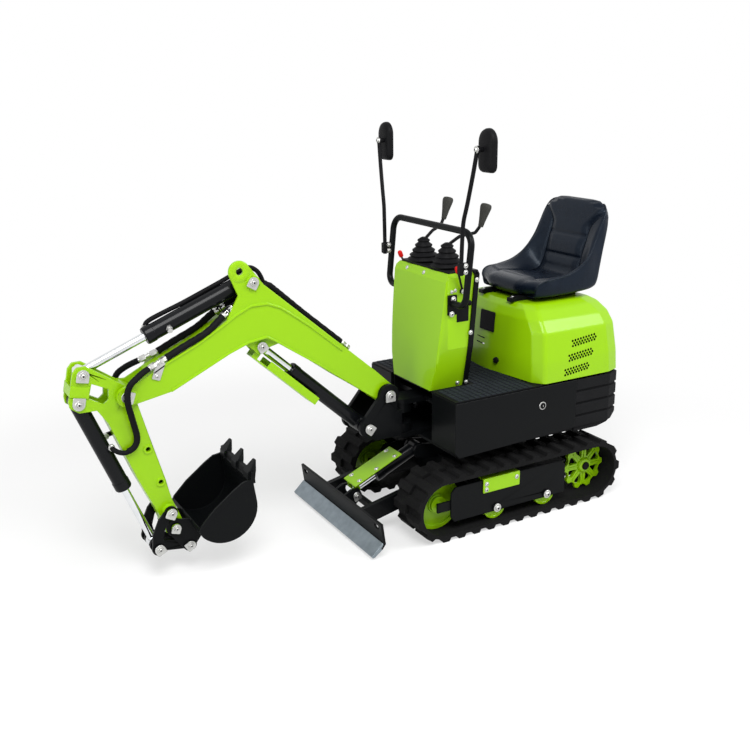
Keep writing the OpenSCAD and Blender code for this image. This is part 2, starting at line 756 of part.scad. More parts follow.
// The closed box between the side plates and its hollow
boom_box = [[432, 520], [468, 498], [493, 512], [758, 704], [882, 788], [930, 822], [965, 842],
    [1033, 832], [1108, 804], [1329, 699], [1400, 686],
    [1400, 774], [1325, 814], [1222, 860], [1112, 924], [940, 1014], [513, 643], [432, 566]];
boom_hollow = [[556, 570], [754, 712], [878, 796], [926, 830], [965, 852], [1036, 842], [1111, 813],
    [1331, 708], [1392, 697],
    [1392, 767], [1321, 805], [1217, 851], [1107, 914], [941, 1002], [556, 668]];

module boom() {
    color(green) grounded() difference() {
        union() {
            slab(boom_hw - boom_t, boom_hw) polygon(boom_plate(lift_ear));
            slab(-boom_hw, -boom_hw + boom_t) polygon(boom_plate(pin_ear));
            slabs(boom_hw, boom_hw + 5) polygon(strip(hump, -8));
            slabs(boom_hw, boom_hw + 5) polygon(strip(belly_edge, 8));
            difference() {
                slab(-boom_hw + boom_t, boom_hw - boom_t) polygon(boom_box);
                slab(-boom_hw + boom_t, boom_hw - boom_t) polygon(boom_hollow);
                translate([800, -27, 650]) cube([275, 54, 216]);
            }
            slabs(27, 39) polygon([[900, 812], [948, 800], [964, 780], [996, 780], [1012, 800],
                [1050, 830], [1030, 846], [965, 850]]);
            bars(boom_eye, 17, 39, 47);
            bars(arm_pivot, 36, boom_hw - boom_t, boom_hw + 8);
            bar(arm_pivot, 15, -boom_hw - 8, boom_hw + 8);
            bars(arm_base, 26, 32, boom_hw + 6);
            bar(arm_base, 12, -boom_hw - 6, boom_hw + 6);
            bar(boom_foot, 42, -boom_hw, boom_hw);
        }
        bar(boom_foot, 16 + pin_play, -100, 100);
        bar(lift_hole, lift_r, 0, 100);
    }
}

module boom_barrel() {
    color(black) grounded() along(boom_base, boom_eye) barrel(400, 28, 22, 17, 30, 40, 13);
}

module boom_rod() {
    color(steel) grounded() along(boom_base, boom_eye) piston_rod(185, dist(boom_base, boom_eye), 17, 27,
        20);
}

// Channel that shields the boom cylinder's rod from below
guard_len = 330;
guard_hw = 40;
guard_lip = 26;
module rod_guard() {
    len = dist(boom_base, boom_eye);
    color(green) grounded() along(boom_base, boom_eye) {
        translate([len - guard_len, -guard_hw, -52]) cube([guard_len - 70, 2 * guard_hw, 6]);
        translate([len - 71, -25, -52]) cube([71, 50, 6]);
        for (y = [-guard_hw, guard_hw - 4]) translate([len - guard_len, y, -47])
            cube([guard_len - 70, 4, guard_lip]);
        for (y = [-25, 20]) difference() {
            translate([len - 24, y, -50]) cube([24, 5, 50]);
            bar([len, 0], 27, -20, 20);
        }
    }
}

module arm_barrel() {
    color(black) grounded() along(arm_base, arm_eye) barrel(416, 30, 23, 15, 28, 27, 12);
}

module arm_rod() {
    color(steel) grounded() along(arm_base, arm_eye) piston_rod(205, dist(arm_base, arm_eye), 15, 25, 20);
}

// Strap round the arm's head, measured from the arm cylinder's pin
strap_t = 4;
strap_front = [[43, -70], [51, -68], [43, -32], [35, -34]];
strap_side = [[-12, -84], [51, -68], [43, -32], [-20, -44]];
function from(spot, points) = [for (p = points) spot + p];

arm_plate = [[1447, 672], [1354, 288], [1322, 200], [1330, 160], [1360, 148], [1384, 164], [1400, 225],
    [1417, 268], [1472, 399], [1552, 620], [1585, 672],
    [1643, 673], [1672, 694], [1674, 716], [1652, 812], [1636, 830], [1606, 831], [1490, 748],
        [1447, 724]];

module arm() {
    color(green) grounded() difference() {
        union() {
            slabs(arm_hw - 12, arm_hw) difference() {
                polygon(arm_plate);
                polygon([[1594, 768], [1540, 741], [1543, 704], [1560, 690], [1608, 718]]);
            }
            slab(-arm_hw + 12, arm_hw - 12) difference() {
                polygon([[1447, 672], [1354, 288], [1322, 200], [1330, 160], [1360, 148], [1384, 164],
                    [1400, 225], [1417, 268], [1472, 399], [1552, 620],
                    [1516, 724], [1490, 748], [1447, 724]]);
                polygon([[1446, 640], [1366, 310], [1405, 286], [1462, 405], [1530, 615], [1500, 640]]);
            }
            slab(-arm_hw - strap_t, arm_hw + strap_t) polygon(from(arm_eye, strap_front));
            slabs(arm_hw, arm_hw + strap_t) polygon(from(arm_eye, strap_side));
            bars(bucket_base, 12, 0, arm_hw + 6);
            bars(bucket_base, 22, arm_hw, arm_hw + 6);
            bars(arm_eye, 20, arm_hw, arm_hw + 7);
            bars(lever_pivot, 22, arm_hw, arm_hw + 19);
            bars(lever_pivot, 11, arm_hw, arm_hw + 38);
            bars(lever_pivot, 18, arm_hw + 32, arm_hw + 38);
            bars(bucket_pivot, 13, arm_hw, arm_hw + 24);
            bars(bucket_pivot, 17, arm_hw + 16, arm_hw + 18.5);
            for (p = [[1426, 500], [1391, 368]]) bars(p, 17, arm_hw, arm_hw + 5);
        }
        bar(arm_pivot, 15 + pin_play, -100, 100);
        for (p = [[1426, 500], [1391, 368]]) bars(p, 8.5, arm_hw - 14, arm_hw + 10);
    }
}

module bucket_barrel() {
    color(black) grounded() along(bucket_base, lever_eye) barrel(372, 28, 21, 14, 26, 25, 12);
}

module bucket_rod() {
    color(steel) grounded() along(bucket_base, lever_eye) piston_rod(228, dist(bucket_base, lever_eye),
        14, 24, 20);
}

// Curved side levers between the arm and the rod's pin
module bucket_levers() {
    y0 = arm_hw + 20;
    color(black) grounded() difference() {
        union() {
            slabs(y0, y0 + 11) union() {
                polygon([[1352, 262], [1360, 275], [1385, 272], [1420, 232], [1444, 180], [1448, 132],
                    [1440, 105], [1412, 104], [1402, 124], [1408, 160],
                    [1396, 200], [1376, 230], [1352, 240]]);
                translate(lever_pivot) circle(r = 24);
                translate(lever_eye) circle(r = 26);
            }
            bars(lever_eye, 17, y0 + 11, y0 + 18);
        }
        bars(lever_pivot, 11 + pin_play, y0 - 5, y0 + 20);
    }
}

// Link between the levers' pin and the bucket
module bucket_link() {
    color(black) grounded() difference() {
        union() {
            slabs(27, 39) union() {
                polygon([[1304, 81], [1310, 122], [1420, 141], [1430, 100]]);
                translate(link_pin) circle(r = 22);
                translate(lever_eye) circle(r = 24);
            }
            slab(-28, 28) polygon([[1318, 92], [1350, 98], [1346, 124], [1314, 118]]);
        }
        bar(link_pin, 11 + pin_play, -60, 60);
    }
}

// The bucket's back is an arc that runs from the lip round to the heel
bucket_mid = [1197, 250];
bucket_r = 122;
bucket_t = 10;
function arc(c, r, a0, a1, n) = [for (i = [0:n]) let (a = a0 + (a1 - a0) * i / n)
    c + r * [cos(a), sin(a)]];
bucket_back = arc(bucket_mid, bucket_r, 176, 318, 16);
bucket_inner = arc(bucket_mid, bucket_r - bucket_t, 318, 176, 16);
bucket_skin = concat([[1088, 352]], bucket_back, [[1302, 196], [1294, 206], [1284, 186]], bucket_inner,
    [[1098, 350]]);
bucket_side = concat([[1088, 352]], bucket_back, [[1302, 196], [1292, 214], [1240, 266], [1205, 292],
    [1163, 324], [1128, 346]]);

// The two ears that hang the bucket, measured from its pivot
ear_in = arm_hw + 5;
ear_t = 10;
ear_form = [[-103, -42], [-73, -80], [-49, -106], [-25, -92], [29, -14], [29, 16], [0, 32],
    [-55, 22], [-69, -6]];

module bucket() {
    color(black) grounded() difference() {
        union() {
            slab(-bucket_hw, bucket_hw) polygon(bucket_skin);
            slabs(bucket_hw - 10, bucket_hw) polygon(bucket_side);
            slabs(ear_in, ear_in + ear_t) union() {
                polygon(from(bucket_pivot, ear_form));
                translate(bucket_pivot) circle(r = 34);
                translate(link_pin) circle(r = 25);
            }
            bar(link_pin, 11, -ear_in - ear_t - 6, ear_in + ear_t + 6);
            bars(link_pin, 18, ear_in + ear_t, ear_in + ear_t + 6);
            slab(-bucket_hw, bucket_hw) polygon([[1078, 335], [1096, 335], [1090, 378], [1080, 380]]);
            for (y = [-120, 0, 120]) tooth(y);
        }
        bar(bucket_pivot, 13 + pin_play, -100, 100);
    }
}

// Pointed tooth on the bucket's lip
module tooth(y) {
    intersection() {
        slab(y - 24, y + 24) polygon([[1072, 345], [1102, 345], [1100, 372], [1066, 414], [1060, 412],
            [1068, 372]]);
        translate([1000, 0, 0]) rotate([90, 0, 90]) linear_extrude(200)
            polygon([[y - 23, 340], [y - 23, 378], [y - 8, 416], [y + 8, 416], [y + 23, 378],
                [y + 23, 340]]);
    }
}

track_left();
track_right();
side_frames();
sprockets();
travel_motors();
idlers();
track_rollers();
track_guards();
car_body();
blade();
cutting_edge();
blade_barrel();
blade_rod();
blade_guard();
house_frame();
skirts();
counterweight();
deck_mat();
engine();
hood_hinge();
console();
console_back();
control_levers();
lock_levers();
handrail();
mirrors();
hood();
seat_rails();
seat();
swing_bracket();
swing_barrel();
swing_rod();
boom();
boom_barrel();
boom_rod();
rod_guard();
arm_barrel();
arm_rod();
arm();
bucket_barrel();
bucket_rod();
bucket_levers();
bucket_link();
bucket();
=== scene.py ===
import math

import bmesh
import bpy
from mathutils import Matrix, Vector


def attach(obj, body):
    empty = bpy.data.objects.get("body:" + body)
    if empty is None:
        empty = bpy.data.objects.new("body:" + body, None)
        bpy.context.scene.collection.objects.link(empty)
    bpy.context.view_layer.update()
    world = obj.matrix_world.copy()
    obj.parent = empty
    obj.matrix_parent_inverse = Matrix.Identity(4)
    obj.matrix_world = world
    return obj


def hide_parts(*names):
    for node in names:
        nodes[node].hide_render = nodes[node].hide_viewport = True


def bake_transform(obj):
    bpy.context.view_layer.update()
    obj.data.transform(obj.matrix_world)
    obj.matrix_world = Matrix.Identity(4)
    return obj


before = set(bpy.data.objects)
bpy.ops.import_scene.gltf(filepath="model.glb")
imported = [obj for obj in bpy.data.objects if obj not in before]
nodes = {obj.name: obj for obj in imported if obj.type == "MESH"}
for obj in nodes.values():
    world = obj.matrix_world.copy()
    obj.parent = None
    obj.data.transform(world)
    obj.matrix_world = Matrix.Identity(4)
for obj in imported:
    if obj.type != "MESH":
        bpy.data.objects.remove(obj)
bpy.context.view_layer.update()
scene = bpy.context.scene
scene.view_settings.view_transform = "Standard"
midX = 561.0  # the slew axis stands this far behind the middle of the machine, in millimetres


def at(x, y, z):
    return Vector(((x - midX) / 1000, y / 1000, z / 1000))


print("frame loaded:", len(nodes), "nodes")

# camera, at the place and lens worked out from the picture
cameraSet = dict(spot=(1.679, 3.152, 1.724), target=(-0.167, 0.0, 0.586), roll=-0.008, lens=45.38, sensor=36.0,
                 shiftX=-0.0267, shiftY=0.0021)


def makeCamera(s):
    data = bpy.data.cameras.new("camera")
    data.lens = s["lens"]
    data.sensor_width = s["sensor"]
    data.shift_x = s["shiftX"]
    data.shift_y = s["shiftY"]
    cam = bpy.data.objects.new("camera", data)
    scene.collection.objects.link(cam)
    aim = Vector(s["target"]) - Vector(s["spot"])
    turn = aim.to_track_quat("-Z", "Y").to_matrix().to_4x4()
    cam.matrix_world = Matrix.Translation(s["spot"]) @ turn @ Matrix.Rotation(s["roll"], 4, "Z")
    scene.camera = cam


makeCamera(cameraSet)
print("camera set")


# small helpers for node trees
def addNode(tree, kind, **values):
    n = tree.nodes.new(kind)
    for key, value in values.items():
        if hasattr(n, key):
            setattr(n, key, value)
        else:
            n.inputs[key.replace("_", " ")].default_value = value
    return n


def join(tree, *pairs):
    for a, b in pairs:
        tree.links.new(a, b)


def newGroup(name, ins, outs):
    tree = bpy.data.node_groups.new(name, "ShaderNodeTree")
    for label, kind, value in ins:
        sock = tree.interface.new_socket(name=label, in_out="INPUT", socket_type=kind)
        sock.default_value = value
    for label, kind in outs:
        tree.interface.new_socket(name=label, in_out="OUTPUT", socket_type=kind)
    return tree, tree.nodes.new("NodeGroupInput"), tree.nodes.new("NodeGroupOutput")


# sprayed paint: slow drift of the tone, fine orange peel and a little haze in the gloss
def makePaintGroup():
    tree, gin, gout = newGroup("sprayedPaint", [
        ("Tone", "NodeSocketColor", (0.5, 0.5, 0.5, 1)), ("Drift", "NodeSocketFloat", 0.12),
        ("Gloss low", "NodeSocketFloat", 0.25), ("Gloss high", "NodeSocketFloat", 0.4),
        ("Peel scale", "NodeSocketFloat", 420.0)],
        [("Color", "NodeSocketColor"), ("Roughness", "NodeSocketFloat"), ("Height", "NodeSocketFloat")])
    coord = addNode(tree, "ShaderNodeTexCoord")
    slow = addNode(tree, "ShaderNodeTexNoise", Scale=5.0, Detail=4.0)
    peel = addNode(tree, "ShaderNodeTexNoise", Detail=2.0)
    dark = addNode(tree, "ShaderNodeHueSaturation", Value=0.72, Saturation=1.05)
    mix = addNode(tree, "ShaderNodeMix", data_type="RGBA")
    share = addNode(tree, "ShaderNodeMath", operation="MULTIPLY")
    gloss = addNode(tree, "ShaderNodeMapRange")
    join(tree, (coord.outputs["Object"], slow.inputs["Vector"]), (coord.outputs["Object"], peel.inputs["Vector"]),
         (gin.outputs["Peel scale"], peel.inputs["Scale"]), (gin.outputs["Tone"], dark.inputs["Color"]),
         (slow.outputs["Fac"], share.inputs[0]), (gin.outputs["Drift"], share.inputs[1]),
         (share.outputs[0], mix.inputs["Factor"]), (gin.outputs["Tone"], mix.inputs["A"]),
         (dark.outputs["Color"], mix.inputs["B"]), (slow.outputs["Fac"], gloss.inputs["Value"]),
         (gin.outputs["Gloss low"], gloss.inputs["To Min"]), (gin.outputs["Gloss high"], gloss.inputs["To Max"]),
         (mix.outputs["Result"], gout.inputs["Color"]), (gloss.outputs["Result"], gout.inputs["Roughness"]),
         (peel.outputs["Fac"], gout.inputs["Height"]))
    return tree


# cell grain for moulded rubber, vinyl and textured plastic
def makeGrainGroup():
    tree, gin, gout = newGroup("mouldedGrain", [
        ("Tone", "NodeSocketColor", (0.5, 0.5, 0.5, 1)), ("Worn tone", "NodeSocketColor", (0.5, 0.5, 0.5, 1)),
        ("Cell scale", "NodeSocketFloat", 500.0), ("Gloss low", "NodeSocketFloat", 0.5),
        ("Gloss high", "NodeSocketFloat", 0.7)],
        [("Color", "NodeSocketColor"), ("Roughness", "NodeSocketFloat"), ("Height", "NodeSocketFloat")])
    coord = addNode(tree, "ShaderNodeTexCoord")
    cells = addNode(tree, "ShaderNodeTexVoronoi", feature="DISTANCE_TO_EDGE")
    cloud = addNode(tree, "ShaderNodeTexNoise", Scale=14.0, Detail=5.0)
    flat = addNode(tree, "ShaderNodeMapRange", clamp=True)
    flat.inputs["From Max"].default_value = 0.16
    mix = addNode(tree, "ShaderNodeMix", data_type="RGBA")
    gloss = addNode(tree, "ShaderNodeMapRange")
    join(tree, (coord.outputs["Object"], cells.inputs["Vector"]), (coord.outputs["Object"], cloud.inputs["Vector"]),
         (gin.outputs["Cell scale"], cells.inputs["Scale"]), (cells.outputs["Distance"], flat.inputs["Value"]),
         (cloud.outputs["Fac"], mix.inputs["Factor"]), (gin.outputs["Tone"], mix.inputs["A"]),
         (gin.outputs["Worn tone"], mix.inputs["B"]), (cloud.outputs["Fac"], gloss.inputs["Value"]),
         (gin.outputs["Gloss low"], gloss.inputs["To Min"]), (gin.outputs["Gloss high"], gloss.inputs["To Max"]),
         (mix.outputs["Result"], gout.inputs["Color"]), (gloss.outputs["Result"], gout.inputs["Roughness"]),
         (flat.outputs["Result"], gout.inputs["Height"]))
    return tree


# machined or plated metal: long fine scratches and cloudy plating
def makeMetalGroup():
    tree, gin, gout = newGroup("workedMetal", [
        ("Tone", "NodeSocketColor", (0.6, 0.6, 0.6, 1)), ("Stain", "NodeSocketColor", (0.4, 0.4, 0.4, 1)),
        ("Scratch scale", "NodeSocketFloat", 60.0), ("Gloss low", "NodeSocketFloat", 0.2),
        ("Gloss high", "NodeSocketFloat", 0.4)],
        [("Color", "NodeSocketColor"), ("Roughness", "NodeSocketFloat"), ("Height", "NodeSocketFloat")])
    coord = addNode(tree, "ShaderNodeTexCoord")
    squeeze = addNode(tree, "ShaderNodeMapping")
    squeeze.inputs["Scale"].default_value = (1.0, 9.0, 9.0)
    lines = addNode(tree, "ShaderNodeTexNoise", Detail=6.0)
    cloud = addNode(tree, "ShaderNodeTexNoise", Scale=32.0, Detail=4.0)
    mix = addNode(tree, "ShaderNodeMix", data_type="RGBA")
    gloss = addNode(tree, "ShaderNodeMapRange")
    join(tree, (coord.outputs["Object"], squeeze.inputs["Vector"]),
         (squeeze.outputs["Vector"], lines.inputs["Vector"]),
         (gin.outputs["Scratch scale"], lines.inputs["Scale"]), (coord.outputs["Object"], cloud.inputs["Vector"]),
         (cloud.outputs["Fac"], mix.inputs["Factor"]), (gin.outputs["Tone"], mix.inputs["A"]),
         (gin.outputs["Stain"], mix.inputs["B"]), (lines.outputs["Fac"], gloss.inputs["Value"]),
         (gin.outputs["Gloss low"], gloss.inputs["To Min"]), (gin.outputs["Gloss high"], gloss.inputs["To Max"]),
         (mix.outputs["Result"], gout.inputs["Color"]), (gloss.outputs["Result"], gout.inputs["Roughness"]),
         (lines.outputs["Fac"], gout.inputs["Height"]))
    return tree


finishGroups = dict(paint=makePaintGroup(), grain=makeGrainGroup(), metal=makeMetalGroup())


def makeFinish(name, kind, bump, reach, fixed, **values):
    mat = bpy.data.materials.new(name)
    mat.use_nodes = True
    tree = mat.node_tree
    shader = tree.nodes["Principled BSDF"]
    for label, value in fixed.items():
        shader.inputs[label].default_value = value
    group = addNode(tree, "ShaderNodeGroup", node_tree=finishGroups[kind])
    for label, value in values.items():
        group.inputs[label.replace("_", " ")].default_value = value
    relief = addNode(tree, "ShaderNodeBump", Strength=bump, Distance=reach)
    join(tree, (group.outputs["Color"], shader.inputs["Base Color"]),
         (group.outputs["Roughness"], shader.inputs["Roughness"]),
         (group.outputs["Height"], relief.inputs["Height"]), (relief.outputs["Normal"], shader.inputs["Normal"]))
    return mat


def rgb(r, g, b):
    return (r, g, b, 1.0)


coated = {"Metallic": 0.0, "Coat Weight": 0.16, "Coat Roughness": 0.05, "Specular IOR Level": 0.2}
dark = {"Metallic": 0.0, "Coat Weight": 0.05, "Coat Roughness": 0.12, "Specular IOR Level": 0.06}
plain = {"Metallic": 0.0, "Specular IOR Level": 0.055}
bare = {"Metallic": 1.0}
sewn = {"Metallic": 0.0, "Coat Weight": 0.06, "Specular IOR Level": 0.15, "Specular Tint": rgb(0.66, 0.82, 1.0)}
finish = dict(
    lime=makeFinish("limePaint", "paint", 0.05, 0.0004, coated, Tone=rgb(0.25, 0.492, 0.0012), Drift=0.16,
                    Gloss_low=0.26, Gloss_high=0.40),
    black=makeFinish("blackPaint", "paint", 0.06, 0.0004, dark, Drift=0.3,
                     Tone=rgb(0.0035, 0.004, 0.0045), Gloss_low=0.32, Gloss_high=0.48),
    cylinder=makeFinish("cylinderPaint", "paint", 0.04, 0.0003, {**dark, "Coat Weight": 0.2}, Drift=0.3,
                        Tone=rgb(0.0035, 0.004, 0.005), Gloss_low=0.26, Gloss_high=0.4),
    rubber=makeFinish("trackRubber", "grain", 0.35, 0.0008, plain, Tone=rgb(0.004, 0.004, 0.0045),
                      Worn_tone=rgb(0.011, 0.011, 0.011), Cell_scale=260.0, Gloss_low=0.62, Gloss_high=0.82),
    mat=makeFinish("matRubber", "grain", 0.3, 0.0005, plain, Tone=rgb(0.011, 0.013, 0.017),
                   Worn_tone=rgb(0.021, 0.025, 0.031), Cell_scale=420.0, Gloss_low=0.5, Gloss_high=0.7),
    sleeve=makeFinish("hoseRubber", "grain", 0.3, 0.0004, plain, Tone=rgb(0.0035, 0.0035, 0.004),
                      Worn_tone=rgb(0.008, 0.008, 0.009), Cell_scale=600.0, Gloss_low=0.42, Gloss_high=0.6),
    vinyl=makeFinish("seatVinyl", "grain", 0.3, 0.0004, sewn, Tone=rgb(0.0022, 0.0038, 0.0080),
                     Worn_tone=rgb(0.005, 0.0085, 0.016), Cell_scale=330.0, Gloss_low=0.22, Gloss_high=0.34),
    plastic=makeFinish("blackPlastic", "grain", 0.2, 0.0003, plain, Tone=rgb(0.0045, 0.0045, 0.005),
                       Worn_tone=rgb(0.008, 0.008, 0.009), Cell_scale=700.0, Gloss_low=0.38, Gloss_high=0.5),
    red=makeFinish("redPlastic", "grain", 0.1, 0.0002, plain, Tone=rgb(0.60, 0.012, 0.01),
                   Worn_tone=rgb(0.46, 0.01, 0.01), Cell_scale=700.0, Gloss_low=0.24, Gloss_high=0.34),
    grip=makeFinish("gripRubber", "grain", 0.35, 0.0005, plain, Tone=rgb(0.030, 0.030, 0.027),
                    Worn_tone=rgb(0.052, 0.052, 0.047), Cell_scale=380.0, Gloss_low=0.5, Gloss_high=0.66),
    cast=makeFinish("castIron", "grain", 0.4, 0.0006, plain, Tone=rgb(0.005, 0.0055, 0.006),
                    Worn_tone=rgb(0.011, 0.011, 0.012), Cell_scale=350.0, Gloss_low=0.5, Gloss_high=0.68),
    zinc=makeFinish("zincPlate", "metal", 0.08, 0.0002, bare, Tone=rgb(0.66, 0.66, 0.64),
                    Stain=rgb(0.44, 0.44, 0.43), Scratch_scale=60.0, Gloss_low=0.28, Gloss_high=0.46),
    chrome=makeFinish("rodChrome", "metal", 0.02, 0.0001, bare, Tone=rgb(0.80, 0.81, 0.82),
                      Stain=rgb(0.66, 0.68, 0.70), Scratch_scale=90.0, Gloss_low=0.07, Gloss_high=0.16),
    steel=makeFinish("bareSteel", "metal", 0.2, 0.0003, bare, Tone=rgb(0.29, 0.335, 0.37),
                     Stain=rgb(0.15, 0.18, 0.20), Scratch_scale=40.0, Gloss_low=0.34, Gloss_high=0.54),
    glass=makeFinish("mirrorFace", "metal", 0.01, 0.0001, bare, Tone=rgb(0.86, 0.87, 0.88),
                     Stain=rgb(0.80, 0.82, 0.84), Scratch_scale=30.0, Gloss_low=0.02, Gloss_high=0.05),
)
print("finishes made:", len(finish))

nodeFinish = dict(
    lime="sprockets idlers track_rollers track_guards blade_guard console hood boom rod_guard arm",
    black="side_frames car_body blade house_frame skirts handrail swing_bracket bucket_levers bucket_link bucket "
          "seat_rails console_back",
    cylinder="blade_barrel swing_barrel boom_barrel arm_barrel bucket_barrel",
    # deck_mat takes the darker hose rubber under the lighter tread pads: painted shade in the grooves
    rubber="track_left track_right", sleeve="deck_mat", vinyl="seat", red="lock_levers",
    plastic="control_levers mirrors", cast="counterweight travel_motors engine",
    zinc="hood_hinge", chrome="blade_rod swing_rod boom_rod arm_rod bucket_rod", steel="cutting_edge")
for look, names in nodeFinish.items():
    for name in names.split():
        nodes[name].data.materials.clear()
        nodes[name].data.materials.append(finish[look])

# the solids' sharp edges get a small real radius, in millimetres
edgeRadius = {2.0: "boom arm skirts blade_guard track_guards rod_guard bucket swing_bracket console_back",
              3.0: "counterweight side_frames",
              1.2: "bucket_levers bucket_link car_body blade house_frame handrail seat_rails idlers track_rollers "
                   "blade_barrel swing_barrel boom_barrel arm_barrel bucket_barrel "
                   "boom_rod arm_rod bucket_rod blade_rod"}
softenSet = dict(weld=0.00002, segments=2, sharpest=34)


def evenNormals(obj):
    even = obj.modifiers.new("even", "WEIGHTED_NORMAL")
    even.keep_sharp = True


def soften(obj, radius, s):
    weld = obj.modifiers.new("weld", "WELD")
    weld.merge_threshold = s["weld"]
    edge = obj.modifiers.new("edge", "BEVEL")
    edge.width = radius / 1000
    edge.segments = s["segments"]
    edge.limit_method = "ANGLE"
    edge.angle_limit = math.radians(s["sharpest"])
    edge.use_clamp_overlap = False
    edge.miter_outer = "MITER_ARC"
    evenNormals(obj)


for radius, names in edgeRadius.items():
    for name in names.split():
        soften(nodes[name], radius, softenSet)
print("solids dressed")


# shared makers of swept, turned and flat pieces, all in millimetres of the machine's own frame
def spline(points, steps=8):
    pts = [Vector(p) for p in points]
    ext = [2 * pts[0] - pts[1]] + pts + [2 * pts[-1] - pts[-2]]
    out = []
    for i in range(1, len(ext) - 2):
        a, b, c, d = ext[i - 1:i + 3]
        for k in range(steps):
            t = k / steps
            out.append(0.5 * (2 * b + (c - a) * t + (2 * a - 5 * b + 4 * c - d) * t ** 2
                              + (3 * b - a - 3 * c + d) * t ** 3))
    out.append(pts[-1])
    return out


def skin(bm, rings, look=0, ends=True):
    for a, b in zip(rings, rings[1:]):
        for k in range(len(a)):
            j = (k + 1) % len(a)
            bm.faces.new((a[k], a[j], b[j], b[k])).material_index = look
    if ends:
        bm.faces.new(rings[0][::-1]).material_index = look
        bm.faces.new(rings[-1]).material_index = look


def sweep(bm, path, radii, sides=14, look=0):
    path = [at(*p) for p in path]
    tangent = (path[1] - path[0]).normalized()
    side = tangent.orthogonal().normalized()
    rings = []
    for i, p in enumerate(path):
        ahead = (path[min(i + 1, len(path) - 1)] - path[max(i - 1, 0)]).normalized()
        side = (tangent.rotation_difference(ahead) @ side).normalized()
        tangent = ahead
        other = tangent.cross(side)
        r = (radii[i] if isinstance(radii, list) else radii) / 1000
        rings.append([bm.verts.new(p + r * (math.cos(a) * side + math.sin(a) * other))
                      for a in (math.tau * k / sides for k in range(sides))])
    skin(bm, rings, look)


def turned(bm, spot, axis, profile, sides=24, look=0, flat=1.0):
    spot, axis = at(*spot), Vector(axis).normalized()
    side = axis.orthogonal().normalized() if flat == 1.0 else Vector((0, 1, 0)) - axis * axis.y
    other = axis.cross(side) * flat
    rings = [[bm.verts.new(spot + axis * h / 1000 + r / 1000 * (math.cos(a) * side + math.sin(a) * other))
              for a in (math.tau * k / sides for k in range(sides))] for r, h in profile]
    skin(bm, rings, look)


def flatPiece(bm, spot, along, normal, outline, thick, chamfer=0.8, look=0):
    spot, n = at(*spot), Vector(normal).normalized()
    u = Vector(along).normalized()
    v = n.cross(u)
    cu = sum(p[0] for p in outline) / len(outline)
    cv = sum(p[1] for p in outline) / len(outline)
    reach = max(math.hypot(p[0] - cu, p[1] - cv) for p in outline)
    rings = []
    for h, k in ((0, 1), (thick - chamfer, 1), (thick, 1 - chamfer / reach)):
        rings.append([bm.verts.new(spot + (n * h + u * (cu + (p[0] - cu) * k) + v * (cv + (p[1] - cv) * k)) / 1000)
                      for p in outline])
    skin(bm, rings, look)


def roundRect(w, h, r, n=5):
    out = []
    for cx, cy, a0 in ((w / 2 - r, h / 2 - r, 0), (-w / 2 + r, h / 2 - r, 90), (-w / 2 + r, -h / 2 + r, 180),
                       (w / 2 - r, -h / 2 + r, 270)):
        for i in range(n + 1):
            a = math.radians(a0 + 90 * i / n)
            out.append((cx + r * math.cos(a), cy + r * math.sin(a)))
    return out


def flagOutline(w, tail, r=4):
    out = [(w / 2 * math.cos(a), w / 2 * math.sin(a)) for a in (math.radians(-90 + 15 * i) for i in range(13))]
    for cy, a0 in ((w / 2 - r, 90), (-w / 2 + r, 180)):
        for i in range(5):
            a = math.radians(a0 + 22.5 * i)
            out.append((-tail + r + r * math.cos(a), cy + r * math.sin(a)))
    return out


def domeBolt(bm, spot, axis, r):
    turned(bm, spot, axis, [(r * 1.6, -1), (r * 1.6, r * 0.22), (r * 1.5, r * 0.3)], 20)
    turned(bm, spot, axis, [(r, r * 0.2), (r, r * 0.5), (r * 0.86, r * 0.78), (r * 0.55, r * 0.94),
                            (r * 0.5, r * 0.9)], 20)
    # a black hexagon stands in for the socket: painted shade in its recess
    turned(bm, spot, axis, [(r * 0.46, r * 0.6), (r * 0.46, r * 0.92)], 6, 1)


def hexBolt(bm, spot, axis, r):
    turned(bm, spot, axis, [(r * 1.45, -1), (r * 1.45, r * 0.25), (r * 1.35, r * 0.32)], 24)
    turned(bm, spot, axis, [(r, r * 0.25), (r, r * 0.9), (r * 0.88, r * 1.02)], 6)


def finishPiece(bm, name, body, looks, sharp=38, stands=()):
    bmesh.ops.recalc_face_normals(bm, faces=bm.faces)
    mesh = bpy.data.meshes.new(name)
    bm.to_mesh(mesh)
    bm.free()
    mesh.shade_smooth()
    mesh.set_sharp_from_angle(angle=math.radians(sharp))
    for look in looks:
        mesh.materials.append(finish[look])
    obj = bpy.data.objects.new(name, mesh)
    scene.collection.objects.link(obj)
    if body:
        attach(obj, body)
    if stands:
        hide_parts(*stands)
    return obj


# cuts holes through a finished piece and bakes the result into its mesh
def punchOut(piece, tool):
    bmesh.ops.recalc_face_normals(tool, faces=tool.faces)
    mesh = bpy.data.meshes.new("punch")
    tool.to_mesh(mesh)
    tool.free()
    for look in piece.data.materials:
        mesh.materials.append(look)
    punch = bpy.data.objects.new("punch", mesh)
    scene.collection.objects.link(punch)
    cut = piece.modifiers.new("cut", "BOOLEAN")
    cut.operation = "DIFFERENCE"
    cut.solver = "EXACT"
    cut.object = punch
    done = bpy.data.meshes.new_from_object(piece.evaluated_get(bpy.context.evaluated_depsgraph_get()))
    piece.modifiers.clear()
    piece.data = done
    bpy.data.objects.remove(punch)
    evenNormals(piece)


